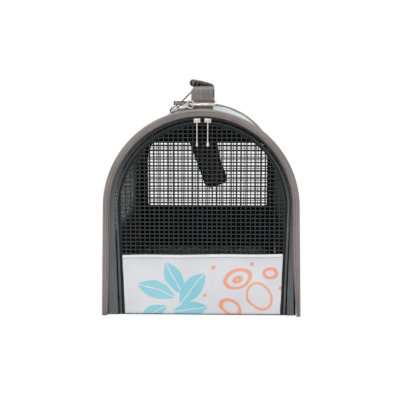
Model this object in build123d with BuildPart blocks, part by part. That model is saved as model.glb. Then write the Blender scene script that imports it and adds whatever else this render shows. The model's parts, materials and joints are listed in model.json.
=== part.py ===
from build123d import *
import math
import os

# Soft-sided tunnel carrier for a cat or small dog, standing on its floor.
# +X is right, +Y runs from the door to the rear end, +Z is up.
# The origin is on the floor under the middle of the carrier. Sizes are in millimetres.

os.makedirs("parts", exist_ok=True)

# Carrier
length = 440.0
floor_half = 143.0
arch_radius = 139.0
spring_height = 156.0
seam_shift = 2.0
lower_height = 90.0
window_top = 204.0

# Soft walls and seams
wall = 4.0
wall_inset = 3.0
seam_gap = 0.15
running_gap = 0.3
wall_foot = 2.7
end_clearance = 1.0

# Rim binding and the hoop inside it
rim_width = 10.0
rim_depth = 14.0
rim_face = 3.0

# Door
door_floor_half = floor_half - 26.5
door_radius = arch_radius - 18.5
door_inset = 6.0
door_foot = 2.0
door_cloth = 3.0
edging_width = 5.0
hem_height = 5.0
hem_thick = 0.8

# Nets
net_thick = 1.2
net_pitch_x = 14.0
net_pitch_z = 12.0
net_strand = 1.6
net_lap = 6.0

# Zipper
coil_width = 1.9
coil_thick = 2.0
coil_outset = 0.7
coil_gap = 1.6
tape_thick = 1.0
slider_length = 9.0
slider_plate = 1.5
slider_neck = 1.0
slider_spacing = 15.0
pin_radius = 0.9
pin_head_radius = 2.2
pin_head = 1.4
pull_length = 34.0
pull_width = 1.8
pull_thick = 1.3
pull_eye_radius = 2.9
pull_drop_radius = 1.9
pull_pin_gap = 0.1

# Windows of the rear end and the sides
rear_window_width = 235.0
rear_window_foot = 95.0
rear_window_head = 220.0
rear_window_cut_x = 10.0
rear_window_cut_z = 26.0
side_window_length = length - 130.0
side_window_foot = 98.0
side_window_head = 192.0
side_window_corner = 16.0
window_band = 7.0
band_thick = 1.0

# Floor
floor_thick = 2.5
board_thick = 3.0
board_half_width = floor_half - 17.0
board_half_length = length / 2 - 22.0
mat_thick = 12.0
mat_corner = 16.0
mat_crown = 4.0

# Handle
webbing = 32.0
webbing_thick = 1.8
handle_thick = 2.5
handle_bend = 7.0
grip_length = 118.0
grip_width = 39.0
grip_thick = 8.0
grip_tilt = 13.0
grip_shift = -3.0

# Rings and snap hooks of the shoulder strap
ring_wire = 3.5
ring_z = spring_height + arch_radius + 5.5
ring_y = length / 2 - 70.0
ring_side = 10.0
ring_play = 0.5
hook_inner = 4.2
hook_outer = 6.3
hook_thick = 4.0
hook_tilt = 18.0
hook_back_tilt = 2.0
hook_side_y = ring_y + 7.5
shank_width = 5.0
shank_length = 6.5
barrel_radius = 3.0
barrel_length = 5.5
eye_pin_radius = 1.4
eye_pin_gap = 0.08
eye_bar = 3.0
eye_slot = 4.0
gate_width = 2.4
gate_gap = 0.3
gate_angle = 52.0

# Shoulder strap and pad
strap_rise_tilt = 45.0
strap_top_z = ring_z - 3.0
strap_rear_y = length / 2 + 3.0
strap_bend_y = 60.0
pad_width = 46.0
pad_length = 128.0
pad_thick = 5.0
pad_corner = 13.0
pad_tilt = 20.0
pad_foot_x = 22.0
pad_foot_z = 133.0
return_tilt = 9.8
rise_length = 38.0
rise_clear = 31.0
rise_back = 46.0
rise_neck = 5.5
pad_slot_up = 9.0
pad_slot_height = 5.0
adjuster_y = 100.0
adjuster_length = 14.0
adjuster_frame = 2.0

# Handle ends, placed from the rings that they are sewn at
handle_foot = ring_y - 4.0
handle_shoulder = ring_y - 11.0
handle_shoulder_z = ring_z + 21.5
handle_top_z = ring_z + 28.5

half_length = length / 2
arch_top = spring_height + arch_radius
door_front_y = -half_length + door_inset
tape_y = door_front_y + coil_outset
slider_front_y = tape_y - coil_thick - running_gap
wall_end = half_length - rim_face - 2 * seam_gap - wall - end_clearance


def leg_half(half_at_floor, radius, z):
    """Half width of a leaning arch leg at height z."""
    return half_at_floor + (radius - half_at_floor) * z / spring_height


def arch_face(half_at_floor, radius, centre_x, z_low, mode=Mode.ADD):
    """A closed tunnel outline: leaning legs under a half circle."""
    foot = leg_half(half_at_floor, radius, z_low)
    with BuildLine() as outline:
        Line((centre_x - radius, spring_height), (centre_x - foot, z_low))
        Line((centre_x - foot, z_low), (centre_x + foot, z_low))
        Line((centre_x + foot, z_low), (centre_x + radius, spring_height))
        ThreePointArc(
            (centre_x + radius, spring_height),
            (centre_x, spring_height + radius),
            (centre_x - radius, spring_height),
        )
    make_face(outline.edges(), mode=mode)


def shell_arch(inset, z_low, mode=Mode.ADD):
    """The shell's outline, drawn in by the inset."""
    arch_face(floor_half - inset, arch_radius - inset, 0.0, z_low, mode)


def door_arch(outset, z_low, mode=Mode.ADD):
    """The door's outline, let out by the outset."""
    arch_face(door_floor_half + outset, door_radius + outset, seam_shift, z_low, mode)


def across(y):
    """The upright plane across the carrier at a given y."""
    return Plane.XZ.offset(-y)


def shell_band(outer, inner, y_front, y_back, z_low):
    """A tunnel wall between two insets."""
    with BuildPart() as band:
        with BuildSketch(across(y_back)):
            shell_arch(outer, z_low)
            shell_arch(inner, z_low - 1.0, Mode.SUBTRACT)
        extrude(amount=y_back - y_front)
    return band.part


def door_band(outer, inner, y_front, y_back, z_low):
    """A strip that follows the door's edge."""
    with BuildPart() as band:
        with BuildSketch(across(y_back)):
            door_arch(outer, z_low)
            door_arch(inner, z_low - 1.0, Mode.SUBTRACT)
        extrude(amount=y_back - y_front)
    return band.part


def net_points(centre_x, centre_z, columns, rows):
    """Middles of a net's gaps."""
    points = []
    for column in range(columns):
        for row in range(rows):
            x = centre_x + (column - (columns - 1) / 2) * net_pitch_x
            z = centre_z + (row - (rows - 1) / 2) * net_pitch_z
            points.append((x, z))
    return points


def inside_door(x, z, margin):
    """True where a net gap lies well inside the door's edging."""
    radius = door_radius - edging_width - margin
    side = abs(x - seam_shift) + net_pitch_x / 2
    top = z + net_pitch_z / 2
    if top <= spring_height:
        return side < leg_half(door_floor_half, door_radius, z) - edging_width - margin
    return math.hypot(side, top - spring_height) < radius


def save(part, name):
    """Label a finished piece and write it."""
    part.label = name
    export_step(part, f"parts/{name}.step")


# Floor of the shell
floor_side = leg_half(floor_half, arch_radius, 0.0) - wall_inset
sill_half = floor_side - (rim_width - wall_inset) - running_gap
sill_end = -door_front_y - door_cloth - running_gap
with BuildPart() as floor_panel:
    with BuildSketch(Plane.XY):
        Rectangle(2 * floor_side, 2 * (half_length - rim_depth - running_gap))
        Rectangle(2 * sill_half, 2 * sill_end)
    extrude(amount=floor_thick)
save(floor_panel.part, "floor_panel")

# Stiff board and the mat on it
board_z = floor_thick + running_gap
with BuildPart() as base_board:
    with BuildSketch(Plane.XY.offset(board_z)):
        RectangleRounded(2 * board_half_width, 2 * board_half_length, mat_corner)
    extrude(amount=board_thick)
save(base_board.part, "base_board")

mat_z = board_z + board_thick + running_gap
with BuildPart() as floor_mat:
    with BuildSketch(Plane.XY.offset(mat_z)):
        RectangleRounded(2 * board_half_width, 2 * board_half_length, mat_corner)
    extrude(amount=mat_thick)
    fillet(floor_mat.edges().group_by(Axis.Z)[-1], mat_crown)
    fillet(floor_mat.edges().group_by(Axis.Z)[0], mat_crown / 2)
save(floor_mat.part, "floor_mat")

# Side walls with their window, net and window band
wall_in = wall_inset + wall


def side_cut(sign, grow, deep):
    """A window-shaped block through one side wall."""
    height = side_window_head - side_window_foot
    centre_z = (side_window_head + side_window_foot) / 2
    with BuildPart() as cutter:
        with BuildSketch(Plane.YZ.offset(sign * (arch_radius - 25.0))):
            with Locations((0.0, centre_z)):
                RectangleRounded(
                    side_window_length + 2 * grow, height + 2 * grow, side_window_corner + grow
                )
        extrude(amount=sign * deep)
    return cutter.part


def side_block(sign, z_low, z_high):
    """The half of space that holds one side wall."""
    with BuildPart() as block:
        with BuildSketch(Plane.XY.offset(z_low)):
            with Locations((sign * floor_half / 2, 0.0)):
                Rectangle(floor_half + 2.0, 2 * length)
        extrude(amount=z_high - z_low)
    return block.part


wall_band = shell_band(wall_inset, wall_in, -wall_end, wall_end, wall_foot)
net_band = shell_band(
    wall_in + seam_gap, wall_in + seam_gap + net_thick, -wall_end, wall_end, wall_foot
)
cuff_band = shell_band(
    wall_inset - seam_gap - band_thick, wall_inset - seam_gap, -wall_end, wall_end, wall_foot
)
for sign, side in ((-1, "left"), (1, "right")):
    upright = side_block(sign, wall_foot, window_top)
    panel = wall_band & upright
    panel = panel - side_cut(sign, 0.0, 60.0)
    save(panel, f"side_panel_{side}")
    net = net_band & side_cut(sign, net_lap, 60.0)
    save(net, f"side_mesh_{side}")
    cuff = cuff_band & side_cut(sign, window_band, 60.0)
    cuff = cuff - side_cut(sign, 0.0, 60.0)
    save(cuff, f"side_window_band_{side}")

# Roof over the side walls
with BuildPart() as roof_panel:
    add(wall_band)
    with BuildSketch(Plane.XY.offset(window_top + seam_gap)):
        Rectangle(3 * floor_half, 2 * length)
    extrude(amount=floor_half, mode=Mode.INTERSECT)
save(roof_panel.part, "roof_panel")

# Rims: a webbing binding folded over a spring hoop at each end
channel_outer = wall_inset - seam_gap
channel_inner = wall_in + seam_gap
hoop_depth = wall


def rim(sign):
    """One folded binding, a channel that opens towards the wall."""
    face_y = sign * half_length
    web_y = sign * (half_length - rim_face)
    lip_y = sign * (half_length - rim_depth)
    with BuildPart() as binding:
        with BuildSketch(across(max(face_y, lip_y))):
            shell_arch(0.0, 0.0)
            shell_arch(rim_width, -1.0, Mode.SUBTRACT)
        extrude(amount=rim_depth)
        with BuildSketch(across(max(web_y, lip_y))):
            shell_arch(channel_outer, -1.0)
            shell_arch(channel_inner, -2.0, Mode.SUBTRACT)
        extrude(amount=rim_depth - rim_face, mode=Mode.SUBTRACT)
    return binding.part


def hoop(sign):
    """One spring hoop inside the folded binding."""
    near = sign * (half_length - rim_face - seam_gap)
    far = near - sign * hoop_depth
    with BuildPart() as ring:
        with BuildSketch(across(max(near, far))):
            shell_arch(channel_outer + seam_gap, 1.0)
            shell_arch(channel_inner - seam_gap, 0.0, Mode.SUBTRACT)
        extrude(amount=hoop_depth)
    return ring.part


for sign, end in ((-1, "front"), (1, "rear")):
    save(rim(sign), f"{end}_rim_binding")
    save(hoop(sign), f"{end}_hoop")

# Zipper: tape and coil on the shell, tape and coil on the door
coil_in = coil_outset + coil_width
shell_coil_in = coil_in + coil_gap
shell_coil_out = shell_coil_in + coil_width
coil_mid = (coil_in + shell_coil_in) / 2
with BuildPart() as shell_zipper_tape:
    with BuildSketch(across(tape_y + tape_thick)):
        shell_arch(rim_width + seam_gap, 1.0)
        door_arch(shell_coil_in, 0.0, Mode.SUBTRACT)
    extrude(amount=tape_thick)
save(shell_zipper_tape.part, "shell_zipper_tape")
shell_coil = door_band(shell_coil_out, shell_coil_in, tape_y - coil_thick, tape_y, 1.0)
save(shell_coil, "shell_zipper_coil")
door_tape = door_band(coil_in, seam_gap, tape_y, tape_y + tape_thick, door_foot)
save(door_tape, "door_zipper_tape")
door_coil = door_band(coil_in, coil_outset, tape_y - coil_thick, tape_y, door_foot)
save(door_coil, "door_zipper_coil")

# Door: edging, net, printed lower panel and its hem
edging = door_band(0.0, -edging_width, door_front_y, door_front_y + door_cloth, door_foot)
save(edging, "door_edging")

net_field = -edging_width - seam_gap
with BuildPart() as door_lower_panel:
    with BuildSketch(across(door_front_y + door_cloth)):
        door_arch(net_field, door_foot)
        with Locations((0.0, lower_height + arch_radius)):
            Rectangle(3 * floor_half, 2 * arch_radius, mode=Mode.SUBTRACT)
    extrude(amount=door_cloth)
save(door_lower_panel.part, "door_lower_panel")

columns = int(2 * door_radius / net_pitch_x)
rows = int((door_radius + spring_height - lower_height) / net_pitch_z)
net_centre_z = lower_height + rows * net_pitch_z / 2 + net_strand
door_gaps = []
for x, z in net_points(seam_shift, net_centre_z, columns, rows):
    if inside_door(x, z, 0.5):
        door_gaps.append((x, z))
with BuildPart() as door_mesh:
    with BuildSketch(across(door_front_y + door_cloth / 2 + net_thick / 2)):
        door_arch(net_field, lower_height + seam_gap)
        with Locations(*door_gaps):
            Rectangle(net_pitch_x - net_strand, net_pitch_z - net_strand, mode=Mode.SUBTRACT)
    extrude(amount=net_thick)
save(door_mesh.part, "door_mesh")

with BuildPart() as door_hem:
    with BuildSketch(across(door_front_y - seam_gap)):
        door_arch(net_field, lower_height - hem_height)
        with Locations((0.0, lower_height + arch_radius)):
            Rectangle(3 * floor_half, 2 * arch_radius, mode=Mode.SUBTRACT)
    extrude(amount=hem_thick)
save(door_hem.part, "door_hem")

# Rear end: printed lower panel, dark upper panel with the window, net and window band
rear_y = -door_front_y
rear_edge = rim_width + seam_gap
with BuildPart() as rear_lower_panel:
    with BuildSketch(across(rear_y)):
        shell_arch(rear_edge, door_foot)
        with Locations((0.0, lower_height + arch_radius)):
            Rectangle(3 * floor_half, 2 * arch_radius, mode=Mode.SUBTRACT)
    extrude(amount=door_cloth)
save(rear_lower_panel.part, "rear_lower_panel")


def rear_window(grow, mode=Mode.ADD):
    """The rear window's outline, with its two cut upper corners."""
    half = rear_window_width / 2 + grow
    foot = rear_window_foot - grow
    head = rear_window_head + grow
    with BuildLine() as outline:
        Polyline(
            (seam_shift - half, foot),
            (seam_shift + half, foot),
            (seam_shift + half, head - rear_window_cut_z),
            (seam_shift + half - rear_window_cut_x, head),
            (seam_shift - half + rear_window_cut_x, head),
            (seam_shift - half, head - rear_window_cut_z),
            close=True,
        )
    make_face(outline.edges(), mode=mode)


with BuildPart() as rear_upper_panel:
    with BuildSketch(across(rear_y)):
        shell_arch(rear_edge, lower_height + seam_gap)
        rear_window(0.0, Mode.SUBTRACT)
    extrude(amount=door_cloth)
save(rear_upper_panel.part, "rear_upper_panel")

with BuildPart() as rear_window_band:
    with BuildSketch(across(rear_y + seam_gap + band_thick)):
        rear_window(window_band / 2)
        rear_window(0.0, Mode.SUBTRACT)
        shell_arch(rear_edge, door_foot, Mode.INTERSECT)
    extrude(amount=band_thick)
save(rear_window_band.part, "rear_window_band")

window_columns = int((rear_window_width - net_strand) / net_pitch_x)
window_rows = int((rear_window_head - rear_window_foot - net_strand) / net_pitch_z)
window_mid_z = (rear_window_head + rear_window_foot) / 2
rear_gaps = []
for x, z in net_points(seam_shift, window_mid_z, window_columns, window_rows):
    corner_x = rear_window_width / 2 - abs(x - seam_shift) - net_pitch_x / 2
    corner_z = rear_window_head - z - net_pitch_z / 2
    if corner_x / rear_window_cut_x + corner_z / rear_window_cut_z > 1.0:
        rear_gaps.append((x, z))
rear_net_y = rear_y - door_cloth - seam_gap
with BuildPart() as rear_window_mesh:
    with BuildSketch(across(rear_net_y)):
        rear_window(window_band / 2)
        with Locations(*rear_gaps):
            Rectangle(net_pitch_x - net_strand, net_pitch_z - net_strand, mode=Mode.SUBTRACT)
        shell_arch(rear_edge, door_foot, Mode.INTERSECT)
    extrude(amount=net_thick)
save(rear_window_mesh.part, "rear_window_mesh")
print("gaps in the door net", len(door_gaps), "and in the rear net", len(rear_gaps))

# Two zipper sliders, each clipped round the door's coil
plate_in = door_radius + 0.3
plate_out = arch_radius - rim_width - seam_shift - running_gap
neck_mid = door_radius + coil_mid
slider_angle = math.degrees(slider_length / neck_mid)
slider_start = math.degrees(slider_spacing / 2 / neck_mid)
pin_back_y = slider_front_y - slider_plate
pull_front_y = -half_length - running_gap - pull_thick
head_back_y = pull_front_y - running_gap


def sector(radius_in, radius_out, middle, span, y_front, y_back):
    """A slice of a flat ring about the middle of the door's arch."""
    start = 90.0 - middle - span / 2
    stop = start + span
    reach = radius_out / math.cos(math.radians(span / 2)) + 1.0
    corners = [(seam_shift, spring_height)]
    for angle in (start, stop):
        x = seam_shift + reach * math.cos(math.radians(angle))
        z = spring_height + reach * math.sin(math.radians(angle))
        corners.append((x, z))
    with BuildPart() as piece:
        with BuildSketch(across(y_back)):
            with Locations((seam_shift, spring_height)):
                Circle(radius_out)
                Circle(radius_in, mode=Mode.SUBTRACT)
            with BuildLine():
                Polyline(*corners, close=True)
            make_face(mode=Mode.INTERSECT)
        extrude(amount=y_back - y_front)
    return piece.part


def slider(middle):
    """Front plate over both coils, neck between them, back plate on the door's side."""
    pin_x = seam_shift + neck_mid * math.sin(math.radians(middle))
    pin_z = spring_height + neck_mid * math.cos(math.radians(middle))
    neck_in = neck_mid - slider_neck / 2
    neck_out = neck_mid + slider_neck / 2
    back_y = tape_y + tape_thick + running_gap
    front = sector(plate_in, plate_out, middle, slider_angle, pin_back_y, slider_front_y)
    neck = sector(neck_in, neck_out, middle, slider_angle / 2, slider_front_y - 0.2, back_y + 0.2)
    back = sector(plate_in, neck_out, middle, slider_angle, back_y, back_y + 1.0)
    with BuildPart() as body:
        add(front)
        add(neck)
        add(back)
        with BuildSketch(across(pin_back_y + 0.2)):
            with Locations((pin_x, pin_z)):
                Circle(pin_radius)
        extrude(amount=pin_back_y + 0.2 - head_back_y + 0.2)
        with BuildSketch(across(head_back_y)):
            with Locations((pin_x, pin_z)):
                Circle(pin_head_radius)
        extrude(amount=pin_head)
        fillet(body.edges().group_by(Axis.Y)[0], pin_head * 0.6)
    return body.part


def pull(middle):
    """A slender pull that hangs straight down from the slider's pin."""
    pin_x = seam_shift + neck_mid * math.sin(math.radians(middle))
    pin_z = spring_height + neck_mid * math.cos(math.radians(middle))
    bar_length = pull_length - pull_eye_radius
    with BuildPart() as body:
        with BuildSketch(across(pull_front_y + pull_thick)):
            with Locations((pin_x, pin_z)):
                Circle(pull_eye_radius)
            with Locations((pin_x, pin_z - pull_eye_radius - bar_length / 2 + 0.5)):
                Rectangle(pull_width, bar_length)
            with Locations((pin_x, pin_z - pull_length)):
                Ellipse(pull_drop_radius, 1.4 * pull_drop_radius)
            with Locations((pin_x, pin_z)):
                Circle(pin_radius + pull_pin_gap, mode=Mode.SUBTRACT)
        extrude(amount=pull_thick)
    return body.part


for middle, side in ((-slider_start, "left"), (slider_start, "right")):
    save(slider(middle), f"zipper_slider_{side}")
    save(pull(middle), f"zipper_pull_{side}")

# Handle: one webbing arch with a padded grip round its middle
half_web = webbing / 2
riser_foot_z = ring_z + ring_wire / 2 + webbing_thick + 2 * running_gap + 0.3
grip_half = grip_length / 2
with BuildPart() as handle_strap:
    with BuildSketch(Plane.YZ.offset(-half_web)):
        with BuildLine() as spine:
            FilletPolyline(
                (-handle_foot, riser_foot_z),
                (-handle_shoulder, handle_shoulder_z),
                (-grip_half, handle_top_z),
                (grip_half, handle_top_z),
                (handle_shoulder, handle_shoulder_z),
                (handle_foot, riser_foot_z),
                radius=handle_bend,
            )
            offset(amount=handle_thick / 2, side=Side.BOTH)
        make_face()
    extrude(amount=webbing)
save(handle_strap.part, "handle_strap")

# The grip's bore is round enough for the flat webbing inside the tilted wrap
with BuildPart() as handle_grip:
    with BuildSketch(Plane.XZ.offset(-grip_half + 1.0)):
        with Locations(Location((grip_shift, handle_top_z), -grip_tilt)):
            SlotOverall(grip_width, grip_thick + 3.0)
        with Locations((0.0, handle_top_z)):
            Rectangle(webbing + 2 * running_gap, handle_thick + 2 * running_gap, mode=Mode.SUBTRACT)
    extrude(amount=grip_length - 2.0)
save(handle_grip.part, "handle_grip")

# Rings at the handle's feet, each in a folded webbing tab sewn to the roof
ring_half = half_web + ring_play + ring_wire / 2
tab_inner = ring_wire / 2 + running_gap
tab_outer = tab_inner + webbing_thick
patch_top = spring_height + arch_radius - wall_inset + webbing_thick


def ring_outline(grow):
    """The D-shaped outline of the ring at the front, grown from its wire's middle."""
    half = ring_half + grow
    bar_y = -ring_y + grow
    side_y = -ring_y - ring_side
    with BuildLine() as outline:
        Line((-half, side_y), (-half, bar_y))
        Line((-half, bar_y), (half, bar_y))
        Line((half, bar_y), (half, side_y))
        ThreePointArc((half, side_y), (0.0, side_y - half), (-half, side_y))
    return outline.edges()


with BuildPart() as front_ring:
    with BuildSketch(Plane.XY.offset(ring_z - ring_wire / 2)):
        make_face(ring_outline(ring_wire / 2))
        make_face(ring_outline(-ring_wire / 2), mode=Mode.SUBTRACT)
    extrude(amount=ring_wire)
    chamfer(front_ring.edges().filter_by(Plane.XY), ring_wire * 0.25)

with BuildPart() as front_tab:
    with BuildSketch(Plane.YZ.offset(-half_web)):
        with Locations((-ring_y, ring_z)):
            Circle(tab_outer)
        with Locations((-ring_y, (patch_top + ring_z) / 2)):
            Rectangle(2 * webbing_thick, ring_z - patch_top + webbing_thick)
        with Locations((-ring_y, ring_z)):
            Circle(tab_inner, mode=Mode.SUBTRACT)
    extrude(amount=webbing)
    with BuildSketch(across(-ring_y + webbing_thick)):
        shell_arch(wall_inset - webbing_thick - seam_gap, 1.0)
        shell_arch(wall_inset - seam_gap, 0.0, Mode.SUBTRACT)
        with Locations((0.0, arch_top)):
            Rectangle(webbing, arch_radius, mode=Mode.INTERSECT)
    extrude(amount=half_length - rim_depth - running_gap - ring_y + webbing_thick)

save(front_ring.part, "ring_front")
save(front_tab.part, "ring_tab_front")
save(mirror(front_ring.part, about=Plane.XZ), "ring_rear")
save(mirror(front_tab.part, about=Plane.XZ), "ring_tab_rear")


# Snap hooks. Each is drawn in its own plane: u runs from the nose to the strap's eye.
barrel_start = hook_outer - 0.5 + shank_length
pin_start = barrel_start + 1.0
frame_start = barrel_start + barrel_length + 1.2
bar_u = frame_start + eye_bar + eye_slot + eye_bar / 2


def hook_body(plane):
    """A nose ring with a gap for the gate, a shank and a bored barrel."""
    with BuildPart() as body:
        with BuildSketch(plane.offset(-hook_thick / 2)):
            Circle(hook_outer)
            with Locations((barrel_start / 2, 0.0)):
                Rectangle(barrel_start + 1.0, shank_width)
            Circle(hook_inner, mode=Mode.SUBTRACT)
            with Locations(Location((0.0, 0.0), gate_angle)):
                with Locations((hook_outer, 0.0)):
                    Rectangle(hook_outer * 1.2, hook_inner, mode=Mode.SUBTRACT)
        extrude(amount=hook_thick)
        with BuildSketch(Plane(plane.from_local_coords((barrel_start, 0.0, 0.0)), z_dir=plane.x_dir)):
            Circle(barrel_radius)
        extrude(amount=barrel_length)
        with BuildSketch(Plane(plane.from_local_coords((pin_start, 0.0, 0.0)), z_dir=plane.x_dir)):
            Circle(eye_pin_radius + eye_pin_gap)
        extrude(amount=barrel_length, mode=Mode.SUBTRACT)
    return body.part


def hook_gate(plane):
    """The sprung gate that closes the nose ring."""
    middle = (hook_inner + hook_outer) / 2
    length = hook_inner - 2 * gate_gap
    with BuildPart() as body:
        with BuildSketch(plane.offset(-gate_width / 2)):
            with Locations(Location((0.0, 0.0), gate_angle)):
                with Locations((middle, 0.0)):
                    RectangleRounded(hook_outer - hook_inner, length, 0.6)
        extrude(amount=gate_width)
    return body.part


def hook_eye(plane):
    """The strap's eye: a pin that turns in the barrel and a flat frame for the webbing."""
    slot_half = half_web + ring_play
    frame_length = 2 * eye_bar + eye_slot
    upright = Plane(
        plane.from_local_coords((frame_start + frame_length / 2, 0.0, 0.0)),
        x_dir=plane.x_dir,
        z_dir=plane.y_dir,
    )
    with BuildPart() as body:
        with BuildSketch(upright.offset(-eye_bar / 2)):
            RectangleRounded(frame_length, 2 * (slot_half + eye_bar), 2.0)
            Rectangle(eye_slot, 2 * slot_half, mode=Mode.SUBTRACT)
        extrude(amount=eye_bar)
        with BuildSketch(Plane(plane.from_local_coords((pin_start + 0.4, 0.0, 0.0)), z_dir=plane.x_dir)):
            Circle(eye_pin_radius)
        extrude(amount=frame_start - pin_start + 0.4)
    return body.part


def along(angle, start, heading):
    """A hook's plane: u slopes down by the angle away from the nose."""
    radians = math.radians(angle)
    level = Vector(*heading)
    x_dir = level * math.cos(radians) + Vector(0, 0, -math.sin(radians))
    return Plane(origin=start, x_dir=x_dir, z_dir=level.cross(Vector(0, 0, 1)))


front_nose = (-ring_half + 1.6, -hook_side_y, ring_z)
rear_nose = (0.0, ring_y + ring_side + ring_half + 1.6, ring_z)
front_hook = along(hook_tilt, front_nose, (-1, 0, 0))
rear_hook = along(hook_back_tilt, rear_nose, (0, 1, 0))
for plane, end in ((front_hook, "front"), (rear_hook, "rear")):
    save(hook_body(plane), f"snap_hook_{end}")
    save(hook_gate(plane), f"snap_gate_{end}")
    save(hook_eye(plane), f"snap_eye_{end}")
front_bar = front_hook.from_local_coords((bar_u, 0.0, 0.0))
rear_bar = rear_hook.from_local_coords((bar_u, 0.0, 0.0))
print("front eye bar", front_bar, "rear eye bar", rear_bar)

# Shoulder strap: from the front hook up behind the handle's foot, back under the handle
# and over the rear rim, then down to the pad and up again to the rear hook
loop_inner = eye_bar / 2 * 1.42 + 0.2
loop_outer = loop_inner + webbing_thick
rise = Plane(
    origin=(front_bar.X, -hook_side_y, front_bar.Z),
    x_dir=(math.cos(math.radians(strap_rise_tilt)), 0, math.sin(math.radians(strap_rise_tilt))),
    z_dir=(-math.sin(math.radians(strap_rise_tilt)), 0, math.cos(math.radians(strap_rise_tilt))),
)
fold = rise.from_local_coords((rise_length, 0.0, 0.0))
fold_y = fold.Y + rise_back
with BuildPart() as strap_front_end:
    with BuildSketch(rise.offset(-webbing_thick / 2)):
        Polygon(
            (loop_inner, -half_web),
            (loop_inner + 3.0, -half_web),
            (rise_clear, rise_back - half_web - 10.0),
            (rise_length, rise_back - half_web),
            (rise_length, rise_back + half_web),
            (loop_inner + rise_neck, half_web),
            (loop_inner, half_web),
            align=None,
        )
    extrude(amount=webbing_thick)
    with BuildSketch(across(-hook_side_y + half_web)):
        with Locations((front_bar.X, front_bar.Z)):
            Circle(loop_outer)
            Circle(loop_inner, mode=Mode.SUBTRACT)
    extrude(amount=webbing)
    with BuildSketch(across(fold_y + half_web)):
        with BuildLine():
            Polyline(
                (fold.X, fold.Z),
                (half_web - 2.0, strap_top_z + 1.5 * webbing_thick + running_gap),
            )
            offset(amount=webbing_thick / 2, side=Side.BOTH)
        make_face()
    extrude(amount=webbing)
save(strap_front_end.part, "strap_front_end")

pad_top_x = pad_foot_x - math.tan(math.radians(pad_tilt)) * (strap_top_z - pad_foot_z)
run_start_y = fold_y - half_web
with BuildPart() as strap_top_run:
    with BuildSketch(Plane.XY.offset(strap_top_z - webbing_thick / 2)):
        Polygon(
            (-half_web, run_start_y),
            (half_web, run_start_y),
            (half_web, fold_y + half_web),
            (pad_top_x + half_web, strap_bend_y),
            (pad_top_x + half_web, strap_rear_y),
            (pad_top_x - half_web, strap_rear_y),
            (pad_top_x - half_web, strap_bend_y),
            (-half_web, fold_y + half_web),
            align=None,
        )
    extrude(amount=webbing_thick)
save(strap_top_run.part, "strap_top_run")

# The strap's hanging run, the pad on it and the run that returns to the rear hook
pad_y = strap_rear_y + webbing_thick + running_gap
pad_plane = Plane(
    origin=(pad_foot_x, pad_y + pad_thick, pad_foot_z),
    x_dir=(math.cos(math.radians(pad_tilt)), 0, math.sin(math.radians(pad_tilt))),
    z_dir=(0, -1, 0),
)
hang_length = (strap_top_z - pad_foot_z) / math.cos(math.radians(pad_tilt))
with BuildPart() as shoulder_pad:
    with BuildSketch(pad_plane):
        with Locations((0.0, pad_length / 2)):
            RectangleRounded(pad_width, pad_length, pad_corner)
        with Locations((0.0, pad_slot_up)):
            Rectangle(webbing + 2.0, pad_slot_height, mode=Mode.SUBTRACT)
    extrude(amount=pad_thick)
save(shoulder_pad.part, "shoulder_pad")

with BuildPart() as strap_hanging_run:
    with BuildSketch(pad_plane.offset(pad_thick + running_gap)):
        Polygon(
            (-half_web, pad_slot_up - 1.0),
            (half_web, pad_slot_up - 1.0),
            (half_web, hang_length - half_web * math.tan(math.radians(pad_tilt))),
            (-half_web, hang_length + half_web * math.tan(math.radians(pad_tilt))),
            align=None,
        )
    extrude(amount=webbing_thick)
save(strap_hanging_run.part, "strap_hanging_run")

return_y = pad_y + pad_thick + running_gap
slot_middle = pad_plane.from_local_coords((0.0, pad_slot_up, 0.0))
return_lean = math.tan(math.radians(return_tilt))
return_top = slot_middle.X - return_lean * (strap_top_z + webbing_thick + running_gap - slot_middle.Z)
cover_z = strap_top_z + webbing_thick / 2 + running_gap
with BuildPart() as strap_return_run:
    with BuildSketch(across(return_y + webbing_thick)):
        Polygon(
            (slot_middle.X - half_web, slot_middle.Z - 2.0),
            (slot_middle.X + half_web, slot_middle.Z + 2.0),
            (return_top + half_web, cover_z + webbing_thick),
            (return_top - half_web, cover_z + webbing_thick),
            align=None,
        )
    extrude(amount=webbing_thick)
    with BuildSketch(Plane.XY.offset(cover_z)):
        Polygon(
            (return_top - half_web, return_y + webbing_thick),
            (return_top + half_web, return_y + webbing_thick),
            (half_web, rear_bar.Y + loop_inner),
            (-half_web, rear_bar.Y + loop_inner),
            align=None,
        )
    extrude(amount=webbing_thick)
    with BuildSketch(Plane.YZ.offset(-half_web)):
        with Locations((rear_bar.Y, rear_bar.Z)):
            Circle(loop_outer)
            Circle(loop_inner, mode=Mode.SUBTRACT)
    extrude(amount=webbing)
save(strap_return_run.part, "strap_return_run")

# Adjuster: a sleeve-like frame that slides along the strap's top run
sleeve_half = half_web + ring_play
with BuildPart() as strap_adjuster:
    with BuildSketch(across(adjuster_y + adjuster_length / 2)):
        with Locations((pad_top_x, strap_top_z)):
            Rectangle(
                2 * (sleeve_half + adjuster_frame),
                webbing_thick + 2 * (running_gap + adjuster_frame),
            )
            Rectangle(2 * sleeve_half, webbing_thick + 2 * running_gap, mode=Mode.SUBTRACT)
    extrude(amount=adjuster_length)
save(strap_adjuster.part, "strap_adjuster")
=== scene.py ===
# %% [markdown]
# # A soft-sided carrier for a small pet
# The carrier is a cloth tunnel held open by two sprung hoops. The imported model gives
# every size and every joint, so this lesson loads it first and then dresses it in
# cloth, net, zip, webbing and metal. All the numbers below are in millimetres until
# a mesh is made, because sewn goods are cut in millimetres.

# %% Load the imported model
import bmesh
import bpy
import json
import math
from mathutils import Matrix, Vector, noise

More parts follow.
